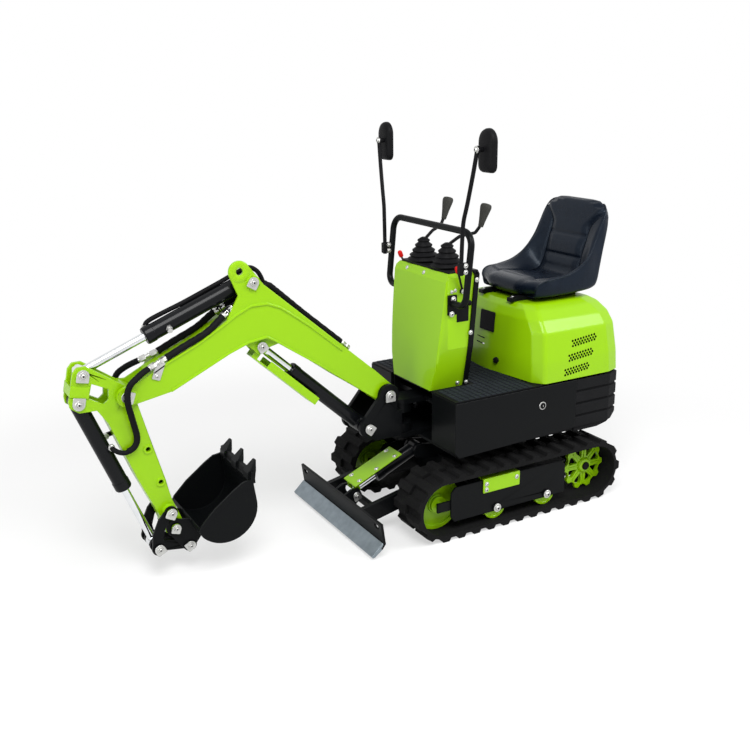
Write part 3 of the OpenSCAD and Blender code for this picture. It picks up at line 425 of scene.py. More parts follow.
# every pin end: a retaining plate with one round end, the turned end of the pin and its screw. A row gives x, z,
# the face's y, the plate's lean and its width; a profile gives radii as shares of that width, with heights
pinSet = dict(
    rows=dict(
        blade_body=[(606, 129, 50, 70, 34)],
        swing_body=[(468, 542, 90, 90, 44), (563, 420, 90, 40, 40)],
        boom_body=[(980, 808, 47, 62, 38), (1007, 1051, 63, 120, 40), (1485, 708, 65, 20, 42)],
        arm_body=[(1620, 802, 49, 102, 42), (1643, 705, 48, 282, 42), (1371, 253, 80, 118, 38),
                  (1355, 184, 66, 108, 34)],
        lever_body=[(1425, 124, 80, 64, 38)],
        bucket_body=[(1306, 103, 63, 150, 36)]),
    thick=4.5, sink=0.5, tail=0.56,
    end=[(0.34, 3), (0.34, 6), (0.31, 7.5), (0.22, 7.5), (0.2, 6.4)],
    screw=[(0.18, 4), (0.18, 9.6), (0.15, 10.6)], socketShade=[(0.09, 8), (0.09, 10.8)])
kits = {}


def kit(body):
    if body not in kits:
        kits[body] = bmesh.new()
    return kits[body]


def makePinEnds(s):
    for body, rows in s["rows"].items():
        for x, z, face, lean, wide in rows:
            a = math.radians(lean)
            for side in (1, -1):
                out = (0, side, 0)
                flatPiece(kit(body), (x, side * (face - s["sink"]), z), (math.cos(a), 0, math.sin(a)), out,
                          flagOutline(wide, wide * s["tail"]), s["thick"])
                # the socket is a black hexagon on the screw's head: painted shade standing in for its recess
                for form, sides, look in (("end", 28, 0), ("screw", 20, 0), ("socketShade", 6, 1)):
                    turned(kit(body), (x, side * face, z), out, [(wide * r, h) for r, h in s[form]], sides, look)


makePinEnds(pinSet)
print("pin ends made")

# hoses: sleeved runs on the boom, loops over the boom's tip, and short tails to the bucket's cylinder. The woven
# sleeve puckers a little: a pucker gives its depth and its turn from ring to ring
hoseSet = dict(sleeve=12.2, hose=11.0, tail=9.0, steps=9, sides=16, tailSides=14, sharp=50, apart=27,
               sleevePucker=(0.5, 1.7), hosePucker=(0.35, 1.9),
               bendStart=(1462, 78, 766), bendEnd=(1480, 74, 640), tailStart=55, tailEnd=30)
boomRun = [(1338, 50, 822), (1272, 50, 853), (1190, 50, 890), (1140, 47, 926), (1104, 38, 953), (1066, 29, 972),
           (1012, 27, 993), (966, 25, 1018), (938, 23, 1028), (908, 19, 1005), (860, 9, 963), (790, -9, 902),
           (700, -12, 824), (632, -12, 765)]
tipLoop = [(1404, 61, 796), (1428, 68, 786), (1450, 76, 774), (1474, 82, 757), (1487, 85, 735), (1491, 86, 710),
           (1489, 83, 682), (1481, 74, 646), (1472, 63, 607), (1464, 57, 566), (1466, 56, 540), (1478, 56, 521),
           (1498, 56, 511)]
nearTail = [(1490, 56, 513), (1506, 55, 508), (1524, 50, 510), (1538, 41, 517), (1545, 30, 523), (1547, 20, 526)]
farTail = [(1470, 56, 566), (1488, 56, 556), (1510, 53, 552), (1530, 46, 551), (1546, 35, 552), (1553, 20, 553)]
farLoop = tipLoop[:9] + [(1465, 57, 585), (1466, 56, 570), (1478, 56, 560)]


def mirrored(points, side):
    return [(x, side * y, z) for x, y, z in points]


def puckered(line, radius, pucker):
    depth, turn = pucker
    return [radius + depth * math.sin(i * turn) for i in range(len(line))]


def makeHoses(s):
    for side, tag in ((1, "left"), (-1, "right")):
        near = side > 0
        bm = bmesh.new()
        run = mirrored(boomRun[:10], side) + [(x, y if near else y - s["apart"], z) for x, y, z in boomRun[10:]]
        line = spline(run, s["steps"])
        sweep(bm, line, puckered(line, s["sleeve"], s["sleevePucker"]), s["sides"])
        finishPiece(bm, "boomHose_" + tag, "boom_body", ["sleeve"], s["sharp"])
        bm = bmesh.new()
        line = spline(mirrored(tipLoop if near else farLoop, side), s["steps"])
        sweep(bm, line, puckered(line, s["hose"], s["hosePucker"]), s["sides"])
        loopPiece = finishPiece(bm, "tipHose_" + tag, None, ["sleeve"], s["sharp"])
        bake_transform(loopPiece)
        bm = bmesh.new()
        tail = nearTail if near else farTail
        sweep(bm, spline(mirrored(tail, side), s["steps"]), s["tail"], s["tailSides"])
        tailPiece = finishPiece(bm, "tailHose_" + tag, None, ["sleeve"], s["sharp"])
        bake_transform(tailPiece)


makeHoses(hoseSet)

# couplings of the hoses: hexagon nuts with a plated tube between them. Radii are shares of the coupling's own,
# nuts and collars start at shares of its length
couplingSet = dict(tube=0.62, over=6, nut=0.95, nutLip=0.86, lip=1.5, nutsAt=(0.06, 0.62), nutLong=0.28,
                   collar=0.84, collarsAt=(0.0, 0.44, 0.94), collarLong=4)


def coupling(bm, a, b, r, s=couplingSet):
    a, b = Vector(a), Vector(b)
    d = b - a
    n = d.length
    turned(bm, a, d, [(r * s["tube"], -s["over"]), (r * s["tube"], n + s["over"])], 18)
    for f in s["nutsAt"]:
        low, high = n * f, n * (f + s["nutLong"])
        turned(bm, a, d, [(r * s["nutLip"], low), (r * s["nut"], low + s["lip"]), (r * s["nut"], high),
                          (r * s["nutLip"], high + s["lip"])], 6)
    for f in s["collarsAt"]:
        turned(bm, a, d, [(r * s["collar"], n * f), (r * s["collar"], n * f + s["collarLong"])], 20)


# where the hoses' couplings, clamps and ports sit
portSet = dict(size=12.5, tip=[(1338, 50, 822), (1404, 61, 796)], foot=[(632, 765), (600, 737)], footY=(-12, -39),
               clamp=(1370, 57, 783), clampAlong=(0.38, 0, -0.92), clampForm=(66, 30, 4), clampThick=5,
               clampScrew=(1378, 61, 764), clampScrewSize=5,
               ports=[(1546, 24, 524), (1553, -24, 553)], portLean=0.2,
               portForm=[(12, -8), (12, 3), (10.5, 4), (10.5, 9)],
               elbow=(1312, 26, 922), elbowAxis=(0.1, 1, -0.35),
               elbowForm=[(11, -4), (11, 9), (8, 10), (8, 15), (10, 15), (10, 24)],
               ear=[(1122, 43, 940), (1084, 33, 964)], earSize=15)


def makePorts(s):
    boom = kit("boom_body")
    for side, footY in zip((1, -1), s["footY"]):
        out = (0, side, 0)
        coupling(boom, *mirrored(s["tip"], side), s["size"])
        coupling(boom, *[(x, footY, z) for x, z in s["foot"]], s["size"])
        clamp, screw = mirrored([s["clamp"], s["clampScrew"]], side)
        flatPiece(boom, clamp, s["clampAlong"], out, roundRect(*s["clampForm"]), s["clampThick"])
        domeBolt(boom, screw, out, s["clampScrewSize"])
        coupling(boom, *mirrored(s["ear"], side), s["earSize"])
    for port in s["ports"]:
        turned(kit("bucket_barrel_body"), port, (s["portLean"], math.copysign(1, port[1]), 0), s["portForm"], 6)
    turned(kit("arm_barrel_body"), s["elbow"], s["elbowAxis"], s["elbowForm"], 6)


makePorts(portSet)


# a point t along a line that leans in the side view, and n over it
def offLine(heart, along, t, n):
    (x0, z0), (ax, az) = heart, along
    return x0 + ax * t - az * n, z0 + az * t + ax * n


# feed of the arm's cylinder: along the top of its barrel, over its eye and into the boom. Each point gives the
# way along the barrel, the height over its middle line and the offset to the side
feedSet = dict(heart=(1007, 1051), along=(0.9264, -0.3763), radius=8.5, sides=14, bend=(7, 10),
               run=[(396, 20, -15), (389, 33, -16), (366, 38, -16.5), (310, 37, -17), (240, 34.5, -17),
                    (160, 34.5, -17), (90, 35.5, -15), (30, 39, -8), (-22, 38, 0), (-45, 16, 0), (-52, -12, 0),
                    (-51, -40, 0)],
               port=[(12, -6), (12, 6), (10, 7), (10, 13)],
               mouth=(936, 0, 1012), mouthAxis=(-0.66, 0, 0.75), grommet=[(15, -4), (15, 3), (12, 5)])


def makeFeed(s):
    path = []
    for t, n, y in s["run"]:
        x, z = offLine(s["heart"], s["along"], t, n)
        path.append((x, y, z))
    bm = bmesh.new()
    sweep(bm, spline(path), s["radius"], s["sides"])
    feed = finishPiece(bm, "armFeed", None, ["sleeve"], 50)
    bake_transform(feed)
    ax, az = s["along"]
    turned(kit("arm_barrel_body"), path[0], (-az, 0, ax), s["port"], 6)
    turned(kit("boom_body"), s["mouth"], s["mouthAxis"], s["grommet"], 24, 1)


makeFeed(feedSet)
print("hoses made")

# rounded crowns of the two ears over the arm cylinder's pin
crownSet = dict(eye=(1055.2, 1092.4), radius=40.0, lip=1.5, hole=(1055, 1094), holeRadius=13.0, holeLip=0.8,
                low=46.6, high=57.4, pin=(1007, 1051), pinRadius=33.5, count=64)


def makeCrowns(s):
    bm = bmesh.new()
    low, high, lip, holeLip = s["low"], s["high"], s["lip"], s["holeLip"]
    outline = [(s["eye"], s["radius"], d, y)
               for d, y in ((-lip, low), (0, low + lip), (0, high - lip), (-lip, high))]
    outline += [(s["hole"], s["holeRadius"], d, y)
                for d, y in ((holeLip, high), (0, high - holeLip), (0, low + holeLip), (holeLip, low))]
    rings = []
    for (x, z), r, d, y in outline:
        rings.append([bm.verts.new(at(x + (r + d) * math.cos(a), y, z + (r + d) * math.sin(a)))
                      for a in (math.tau * k / s["count"] for k in range(s["count"]))])
    skin(bm, rings + rings[:1], 0, False)
    x, z = s["pin"]
    r, thick = s["pinRadius"], high - low
    turned(bm, (x, -low, z), (0, -1, 0), [(r - lip, 0), (r, lip), (r, thick - lip), (r - lip, thick)], s["count"])
    finishPiece(bm, "earCrowns", "boom_body", ["lime"], 50)


makeCrowns(crownSet)

# blade's bare edge: one flat facing from the fold down to the cutting lip
edgeSet = dict(half=350, radius=1.2, section=[(655.2, 58), (657.6, 63.5), (705, 18.4), (703.6, 13), (700, 10),
                                              (692, 12), (659, 36)])


def makeEdge(s):
    bm = bmesh.new()
    skin(bm, [[bm.verts.new(at(x, y, z)) for x, z in s["section"]] for y in (-s["half"], s["half"])])
    facing = finishPiece(bm, "edgeFacing", "blade_body", ["steel"], 30, ["cutting_edge"])
    soften(facing, s["radius"], softenSet)


makeEdge(edgeSet)

# sprockets: toothed rims on plates with tear shaped windows, ribs between them and a covered hub. Flank and crest
# give half a tooth as degrees from its middle and the way from root or tip
sprocketSet = dict(spot=(-378, 275, 135.6), teeth=10, tip=107.0, root=91.5, flank=[(13, 0), (11, 1.5)],
                   crest=[(6.5, 3), (4.5, 0)], rim=[(-2, 0.988), (-0.5, 1), (12.5, 1), (14, 0.988)],
                   bore=[(30, -30), (30, 30)], windows=8, cut=(-20, 30),
                   tear=[(41, 2.5), (48, 5.5), (58, 10.5), (68, 15.5), (75, 18), (81, 17), (84.8, 12), (86, 4.5)],
                   hub=[(34, -13), (35.5, -11), (35.5, 12), (33, 18), (29.5, 24), (27, 26), (17.5, 26.5), (17, 25)],
                   rib=(54, 5, 2), ribAt=58, ribFace=13, ribHigh=4.5, ribLip=1.5,
                   cap=[(17, 20), (17, 32), (15, 34.5), (9, 35.5), (8.5, 34)], plate=(205, 213),
                   drive=[(56, 0), (58, 2), (58, 47), (55, 49)],
                   motor=[(50, 0), (50, 44), (46, 52), (30, 60), (28, 62)],
                   bolts=8, boltTurn=20, boltRing=39, boltBack=56, boltSize=4)


def toothedRim(s):
    half = [(-turn, s["root"] + r) for turn, r in s["flank"]] + [(-turn, s["tip"] - r) for turn, r in s["crest"]]
    rim = []
    for i in range(s["teeth"]):
        for turn, r in half + [(-turn, r) for turn, r in reversed(half)]:
            a = math.radians(360 * i / s["teeth"] + turn)
            rim.append((r * math.cos(a), r * math.sin(a)))
    return rim


def makeSprockets(s):
    x, y0, z = s["spot"]
    rim = toothedRim(s)
    tear = s["tear"] + [(r, -w) for r, w in reversed(s["tear"])]
    plates, tool, hubs, motors = [bmesh.new() for _ in range(4)]
    for side in (1, -1):
        heart, out, back = (x, side * y0, z), (0, side, 0), (0, -side, 0)
        skin(plates, [[plates.verts.new(at(x + p * k, side * (y0 + h), z + q * k)) for p, q in rim]
                      for h, k in s["rim"]])
        turned(tool, heart, out, s["bore"], 48)
        turned(hubs, heart, out, s["hub"], 48)
        for i in range(s["windows"]):
            a = math.radians(360 * (i + 0.5) / s["windows"])
            u, v = (math.cos(a), math.sin(a)), (-math.sin(a), math.cos(a))
            skin(tool, [[tool.verts.new(at(x + r * u[0] + w * v[0], side * (y0 + h), z + r * u[1] + w * v[1]))
                         for r, w in tear] for h in s["cut"]])
            a = math.radians(360 * i / s["windows"])
            d = Vector((math.cos(a), 0, math.sin(a)))
            flatPiece(hubs, (x + s["ribAt"] * d.x, side * (y0 + s["ribFace"]), z + s["ribAt"] * d.z), d, out,
                      roundRect(*s["rib"]), s["ribHigh"], s["ribLip"])
        turned(motors, heart, out, s["cap"], 32)
        turned(motors, (x, side * s["plate"][1], z), out, s["drive"], 48)
        turned(motors, (x, side * s["plate"][0], z), back, s["motor"], 40)
        for i in range(s["bolts"]):
            a = math.radians(360 / s["bolts"] * i + s["boltTurn"])
            spot = (x + s["boltRing"] * math.cos(a), side * (s["plate"][0] - s["boltBack"]),
                    z + s["boltRing"] * math.sin(a))
            hexBolt(kit("undercarriage"), spot, back, s["boltSize"])
    punchOut(finishPiece(plates, "sprocketPlates", "undercarriage", ["lime"], 34, ["sprockets"]), tool)
    finishPiece(hubs, "sprocketHubs", "undercarriage", ["lime"], 30)
    finishPiece(motors, "travelMotors", "undercarriage", ["cast"], 34, ["travel_motors"])


makeSprockets(sprocketSet)

# outer flanges of the track rollers, close behind the frame plate
rollerSet = dict(x=(-128, 128), y=318, z=82,
                 flange=[(30, -1), (53, -1), (53.6, 1), (53.6, 15), (52, 17.5), (44, 18), (42, 16), (24, 16),
                         (22, 18)])


def makeRollers(s):
    bm = bmesh.new()
    for side in (1, -1):
        for x in s["x"]:
            turned(bm, (x, side * s["y"], s["z"]), (0, side, 0), s["flange"], 56)
    finishPiece(bm, "rollerFlanges", "undercarriage", ["lime"], 30)


makeRollers(rollerSet)
print("ears, blade edge and sprockets made")

# seat: rows from the front lip over the pan and up the back. Each row has the middle line, the crest of the
# side and the outside as x, z, then the half widths at the crest and outside. Rings near the front lip, the top
# and the underside are held while the cloth swells
seatSet = dict(across=80, steps=7, under=12, sides=(0.12, 0.32, 0.58, 0.84), bulge=4, bolster=0.5,
               pressure=4.0, stiffness=30, frames=20, cap=0.006, heldUnder=(3, 17), heldFront=31, heldTop=8,
               groove=8.5, grooveWide=5.2, crown=10.0, crownLeast=0.4, crownEdge=0.2, crownReach=40,
               seams=(1000, 1092), slope=0.95, farSeam=400, backFrom=(945, 30), grooveFrom=(190, 40),
               panel=0.58, bend=960, panSteps=[(0.03, -260, 90)], backSteps=[(0.02, 1000, 90), (0.42, 1118, 95)],
               pipe=2.6, pipeEnds=(8, -6), bead=2.3, beadLift=0.004, beadFade=0.6, beadWidest=0.9, beadEvery=3,
               base=(-322, 0, 872), baseForm=(286, 300, 24), baseThick=(15, 2),
               runnerX=-270, runnerY=(-100, 100), runnerZ=871.5, runnerForm=(330, 22, 4), runnerThick=(4, 1),
               screwX=-112, screwZ=872, screwSize=6)
seatRows = [
    (-150, 879, -184, 879, -178, 876, 152, 146), (-138, 893, -170, 893, -166, 875, 172, 162),
    (-135, 913, -164, 914, -168, 875, 186, 178), (-147, 931, -174, 933, -182, 875, 195, 189),
    (-185, 939, -202, 945, -212, 875, 203, 196), (-250, 932, -256, 951, -262, 876, 208, 201),
    (-330, 921, -326, 963, -335, 878, 211, 203), (-393, 917, -380, 986, -405, 882, 212, 204),
    (-428, 929, -414, 1012, -455, 889, 211, 203), (-446, 962, -438, 1042, -482, 908, 207, 200),
    (-462, 1015, -459, 1078, -496, 965, 202, 196), (-482, 1080, -481, 1122, -512, 1045, 200, 194),
    (-503, 1145, -503, 1164, -528, 1115, 199, 193), (-519, 1195, -520, 1198, -540, 1172, 191, 184),
    (-531, 1223, -531, 1219, -547, 1204, 174, 165), (-540, 1232, -540, 1228, -549, 1217, 150, 142),
    (-547, 1228, -546, 1225, -550, 1221, 124, 118)]


def smoothStep(v):
    v = min(1.0, max(0.0, v))
    return v * v * (3 - 2 * v)


# half width of the sewn panel as a share of the seat's, wider by steps along the pan and up the back
def panelEdge(x, z, s):
    way, steps = (x, s["panSteps"]) if z < s["bend"] else (z, s["backSteps"])
    edge = s["panel"]
    for more, start, over in steps:
        edge = edge + more * smoothStep((way - start) / over)
    return edge


def seatRings(s):
    mid = spline([(r[0], r[6], r[1]) for r in seatRows], s["steps"])
    crest = spline([(r[2], r[7], r[3]) for r in seatRows], s["steps"])
    outer = spline([(r[4], 0, r[5]) for r in seatRows], s["steps"])
    rings, sink, borders = [], [], []
    seams = [min((c.z for c in mid), key=lambda z: abs(z - want)) for want in s["seams"]]  # on the nearest rings
    for i, (c, k, b) in enumerate(zip(mid, crest, outer)):
        ahead = mid[min(i + 1, len(mid) - 1)] - mid[max(i - 1, 0)]
        ahead.y = 0
        ahead.normalize()
        normal = Vector((ahead.z, 0, -ahead.x))
        edge = panelEdge(c.x, c.z, s)
        onBack = smoothStep((c.z - s["backFrom"][0]) / s["backFrom"][1])
        fade = smoothStep((-c.x - s["grooveFrom"][0]) / s["grooveFrom"][1])  # no seams at the front of the pan
        tight = min([abs(c.z - z) / s["slope"] for z in seams] + [s["farSeam"]])
        high = s["crownLeast"] + (1 - s["crownLeast"]) * min(1, tight / s["crownReach"]) * onBack
        ring, down = [], []
        for n in range(s["across"] + 1):
            t = 2 * n / s["across"] - 1
            rise = smoothStep((abs(t) - s["bolster"]) / (1 - s["bolster"]))
            p = Vector((c.x + (k.x - c.x) * rise, c.y * t, c.z + (k.z - c.z) * rise))
            p += normal * s["crown"] * smoothStep((edge - abs(t)) / s["crownEdge"]) * high
            seamSide = math.exp(-((abs(t) - edge) * c.y / s["grooveWide"]) ** 2) * fade
            seamRow = math.exp(-(tight / s["grooveWide"]) ** 2) * onBack * (abs(t) < edge)
            ring.append(p)
            down.append(normal * -s["groove"] * max(seamSide, seamRow))
        sides = []
        for w in s["sides"]:
            sides.append(Vector((k.x + (b.x - k.x) * w, c.y + s["bulge"] * math.sin(math.pi * w) - (c.y - k.y) * w,
                                 k.z + (b.z - k.z) * w)))
        flat = [Vector((b.x, k.y * (1 - 2 * n / s["under"]), b.z)) for n in range(s["under"] + 1)]
        rest = sides + flat + [Vector((p.x, -p.y, p.z)) for p in reversed(sides)]
        rings.append(ring + rest)
        sink.append(down + [Vector()] * len(rest))
        borders.append((edge, fade, normal))
    return rings, sink, borders


def puff(obj, held, s):
    group = obj.vertex_groups.new(name="held")
    group.add(held, 1.0, "REPLACE")
    start = [v.co.copy() for v in obj.data.vertices]
    cloth = obj.modifiers.new("cloth", "CLOTH")
    cloth.settings.use_pressure = True
    cloth.settings.uniform_pressure_force = s["pressure"]
    cloth.settings.tension_stiffness = cloth.settings.compression_stiffness = s["stiffness"]
    cloth.settings.vertex_group_mass = "held"
    cloth.settings.effector_weights.gravity = 0.0
    cloth.point_cache.frame_end = s["frames"]
    for f in range(1, s["frames"] + 1):
        scene.frame_set(f)
    shaped = obj.evaluated_get(bpy.context.evaluated_depsgraph_get()).to_mesh()
    moved = [v.co.copy() for v in shaped.vertices]
    obj.modifiers.remove(cloth)
    scene.frame_set(1)
    for v, a, b in zip(obj.data.vertices, start, moved):
        step = b - a
        if step.length > s["cap"]:
            step = step.normalized() * s["cap"]
        v.co = a + step


def inMachine(co):
    return (co.x * 1000 + midX, co.y * 1000, co.z * 1000)


def makeSeat(s):
    rings, sink, borders = seatRings(s)
    bm = bmesh.new()
    loops = [[bm.verts.new(at(*p)) for p in ring] for ring in rings]
    skin(bm, loops)
    cushion = finishPiece(bm, "seatCushion", "hood_body", ["vinyl"], 180, ["seat"])
    verts = cushion.data.vertices
    wide = len(rings[0])
    low, high = [s["across"] + 1 + n for n in s["heldUnder"]]
    held = [i for i in range(len(verts)) if low < i % wide < high
            or i < s["heldFront"] * wide or i >= (len(rings) - s["heldTop"]) * wide]
    puff(cushion, held, s)
    piping, beads = ([], []), ([], [])
    for i, v in enumerate(verts):
        ring, n = divmod(i, wide)
        if n in (0, s["across"]):
            piping[n > 0].append(inMachine(v.co))
        v.co += sink[ring][n] / 1000
    for i, (edge, fade, normal) in enumerate(borders):
        if fade < s["beadFade"] or edge > s["beadWidest"]:
            continue
        for side, bead in zip((1, -1), beads):
            spot = (1 + side * edge) / 2 * s["across"]
            n = int(spot)
            a, b = [verts[i * wide + k].co for k in (n, n + 1)]
            bead.append(inMachine(a.lerp(b, spot - n) + normal * s["beadLift"]))
    sub = cushion.modifiers.new("round", "SUBSURF")
    sub.levels = sub.render_levels = 1
    bm = bmesh.new()
    for line in piping:
        sweep(bm, line[slice(*s["pipeEnds"])], s["pipe"], 8)
    for line in beads:
        sweep(bm, spline(line[::s["beadEvery"]], 5), s["bead"], 8)
    finishPiece(bm, "seatPiping", "hood_body", ["vinyl"], 60)
    bm = bmesh.new()
    ahead, up = (1, 0, 0), (0, 0, 1)
    flatPiece(bm, s["base"], ahead, up, roundRect(*s["baseForm"]), *s["baseThick"])
    for y in s["runnerY"]:
        flatPiece(bm, (s["runnerX"], y, s["runnerZ"]), ahead, up, roundRect(*s["runnerForm"]), *s["runnerThick"])
        domeBolt(kit("hood_body"), (s["screwX"], y, s["screwZ"]), up, s["screwSize"])
    finishPiece(bm, "seatBase", "hood_body", ["plastic"])


makeSeat(seatSet)
print("seat made")

# mirrors: rounded shells on bent stems, in place of the plain solids. A shell row gives its inset and x
mirrorSet = dict(wide=95, tall=155, corner=26, y=361, z=1490,
                 shell=[(2, 211.5), (1.6, 209), (0.4, 209), (0, 212), (0.6, 220), (4, 227.5), (10, 231.8),
                        (20, 234.2), (34, 235)],
                 radius=8, stem=[(272, 283, 1034), (271.6, 285, 1110), (270.8, 288.5, 1195), (269.6, 293, 1240),
                                 (266, 309, 1300), (261, 332, 1398), (256.6, 350, 1486), (256, 351, 1496)],
                 joint=(258, 351, 1494), jointForm=[(13, -3), (14, 0), (14, 7), (9, 10), (8.5, 26), (12, 28)],
                 jointScrew=(260, 351, 1494), jointScrewSize=8.5,
                 clamp=(236.5, 283.5, 1059), clampForm=(44, 21, 4), clampThick=47, clampLip=1.5,
                 screwX=258, screwFaces=(273, 294), screwZ=(1047, 1071), screwSize=6)


def podRing(bm, s, inset, x, side):
    r = s["wide"] / 2
    pts = [(r * math.cos(a), s["tall"] / 2 - r + r * math.sin(a)) for a in (math.pi * i / 24 for i in range(25))]
    for cy, a0 in ((-1, 180), (1, 270)):
        for i in range(9):
            a = math.radians(a0 + 90 * i / 8)
            pts.append((cy * (r - s["corner"]) + s["corner"] * math.cos(a),
                        -s["tall"] / 2 + s["corner"] + s["corner"] * math.sin(a)))
    kx, kz = 1 - inset / r, 1 - inset / (s["tall"] / 2)
    return [bm.verts.new(at(x, side * (s["y"] + p[0] * kx), s["z"] + p[1] * kz)) for p in pts]


def makeMirrors(s):
    bm = bmesh.new()
    for side in (1, -1):
        rings = [podRing(bm, s, inset, x, side) for inset, x in s["shell"]]
        skin(bm, rings)
        bm.faces.ensure_lookup_table()
        bm.faces[-2].material_index = 1
        joint, screw, clamp = mirrored([s["joint"], s["jointScrew"], s["clamp"]], side)
        sweep(bm, spline(mirrored(s["stem"], side)), s["radius"], 16)
        turned(bm, joint, (-1, 0, 0), s["jointForm"], 24)
        flatPiece(bm, clamp, (0, 0, 1), (1, 0, 0), roundRect(*s["clampForm"]), s["clampThick"], s["clampLip"])
        for z in s["screwZ"]:
            for face in s["screwFaces"]:
                domeBolt(kit("house"), (s["screwX"], side * face, z), (0, side * (face - s["clamp"][1]), 0),
                         s["screwSize"])
        domeBolt(kit("house"), screw, (1, 0, 0), s["jointScrewSize"])
    finishPiece(bm, "mirrorSet", "house", ["plastic", "glass"], 40, ["mirrors"])


makeMirrors(mirrorSet)
print("mirrors made")

# deck mat: square pads with grooves between them, left out round the console's foot. The pads' rubber is lighter
# than the deck below, so the grooves carry painted shade
treadSet = dict(pitch=26.0, pad=21.0, corner=2, high=2.8, z=553.6, x0=-62, x1=316, y1=325, footX=116, footY=168)


def makeTread(s):
    bm = bmesh.new()
    nx = int((s["x1"] - s["x0"]) / s["pitch"])
    ny = int(2 * s["y1"] / s["pitch"])
    pad = roundRect(s["pad"], s["pad"], s["corner"], 2)
    for i in range(nx):
        for j in range(ny):
            x = s["x0"] + (i + 0.5) * s["pitch"]
            y = (j - (ny - 1) / 2) * s["pitch"]
            if x > s["footX"] and abs(y) < s["footY"]:
                continue
            flatPiece(bm, (x, y, s["z"]), (1, 0, 0), (0, 0, 1), pad, s["high"])
    finishPiece(bm, "deckTread", "house", ["mat"])


makeTread(treadSet)

# console: the solid's own faces with its broad creases rolled, as folded sheet has them
consoleSet = dict(heart=(215, 0, 760), roll=0.012, steps=4, shortest=0.03, weld=2e-5, flat=0.5, least=0.1, most=1.05)


def makeConsole(s):
    bm = bmesh.new()
    bm.from_mesh(nodes["console"].data)
    bmesh.ops.remove_doubles(bm, verts=bm.verts, dist=s["weld"])
    bmesh.ops.dissolve_limit(bm, angle_limit=math.radians(s["flat"]), verts=bm.verts, edges=bm.edges)
    heart = at(*s["heart"])
    creases = []
    for e in bm.edges:
        if len(e.link_faces) != 2 or e.calc_length() < s["shortest"] or not e.is_convex:
            continue
        middle = (e.verts[0].co + e.verts[1].co) / 2
        outward = all(f.normal.dot(middle - heart) > 0 for f in e.link_faces)
        if outward and s["least"] < e.calc_face_angle() < s["most"]:
            creases.append(e)
    bmesh.ops.bevel(bm, geom=creases, offset=s["roll"], offset_type="OFFSET", segments=s["steps"], profile=0.5,
                    affect="EDGES", clamp_overlap=True)
    evenNormals(finishPiece(bm, "consoleShell", "house", ["lime"], 30, ["console"]))


makeConsole(consoleSet)

# hood: a pressed shell lofted from level to level, its corners and creases rolled, with punched vents and slots
# whose walls are dark plastic as painted shade.
# Each level gives its height, half width, nose and rear
hoodSet = dict(thick=0.004, sweep=8, arc=6, roll=9.0, corners=[400, 30, 30, 28, 28, 28, 28, 30, 30],
               levels=[(556, 328, -42, -526), (640, 324, -44, -522), (757, 308, -52.5, -511), (803, 279, -58, -502),
                       (838, 235, -79, -483), (856, 200, -104, -455), (856.2, 170, -134, -425)],
               frontCut=26, frontLean=(-34, 50), backCut=71, backLean=(-57, -20),
               hole=[(5.6, 0), (5.6, 80)], holeY=270, holeGroups=3, holeRows=3, holes=9, firstX=-219, firstZ=577,
               groupX=-21, groupZ=57.5, rowZ=10.5, stepX=-14.5, stepZ=1.5,
               slotAt=(-90, -35), slotZ=(656, 681), slotForm=(62, 90, 2, 2), slotThick=(5, 0.2),
               knuckleY=(205, -205), leaf=(-521, 558), leafForm=(36, 50, 3), leafThick=(12, 1),
               barrel=(-538, 564), barrelForm=[(8, 0), (8, 50)])


def rollLevels(rows, reach, n=5):
    out = [rows[0]]
    for a, b, c in zip(rows, rows[1:], rows[2:]):
        a, c = [b.lerp(e, min(0.45, reach / (e - b).to_2d().length)) for e in (a, c)]
        for k in range(n + 1):
            t = k / n
            out.append(a * (1 - t) ** 2 + b * 2 * t * (1 - t) + c * t ** 2)
    return out + [rows[-1]]


def meet(p, d, q, e):
    det = d[0] * e[1] - d[1] * e[0]
    t = ((q[0] - p[0]) * e[1] - (q[1] - p[1]) * e[0]) / det
    return (p[0] + d[0] * t, p[1] + d[1] * t)


def roundCorners(points, radii, n):
    out = []
    count = len(points)
    for i, (p, r) in enumerate(zip(points, radii)):
        p = Vector(p)
        a = (Vector(points[i - 1]) - p)
        b = (Vector(points[(i + 1) % count]) - p)
        half = a.angle(b) / 2
        back = min(r / math.tan(half), a.length * 0.48, b.length * 0.48)
        a, b = p + a.normalized() * back, p + b.normalized() * back
        for k in range(n + 1):
            t = k / n
            out.append(a * (1 - t) ** 2 + p * 2 * t * (1 - t) + b * t ** 2)
    return out


def hoodPlan(half, nose, rear, s):
    turn = math.radians(s["sweep"])
    front = ((nose / math.cos(turn), 0), (-math.tan(turn), 1))
    corner = ((nose / math.cos(turn) - math.tan(turn) * half - s["frontCut"], half), s["frontLean"])
    side = ((0, half), (1, 0))
    back = ((rear + s["backCut"], half), s["backLean"])
    tail = ((rear, 0), (0, 1))
    one = [meet(*front, *corner), meet(*corner, *side), meet(*side, *back), meet(*back, *tail)]
    return [front[0]] + one + [(x, -y) for x, y in reversed(one)]


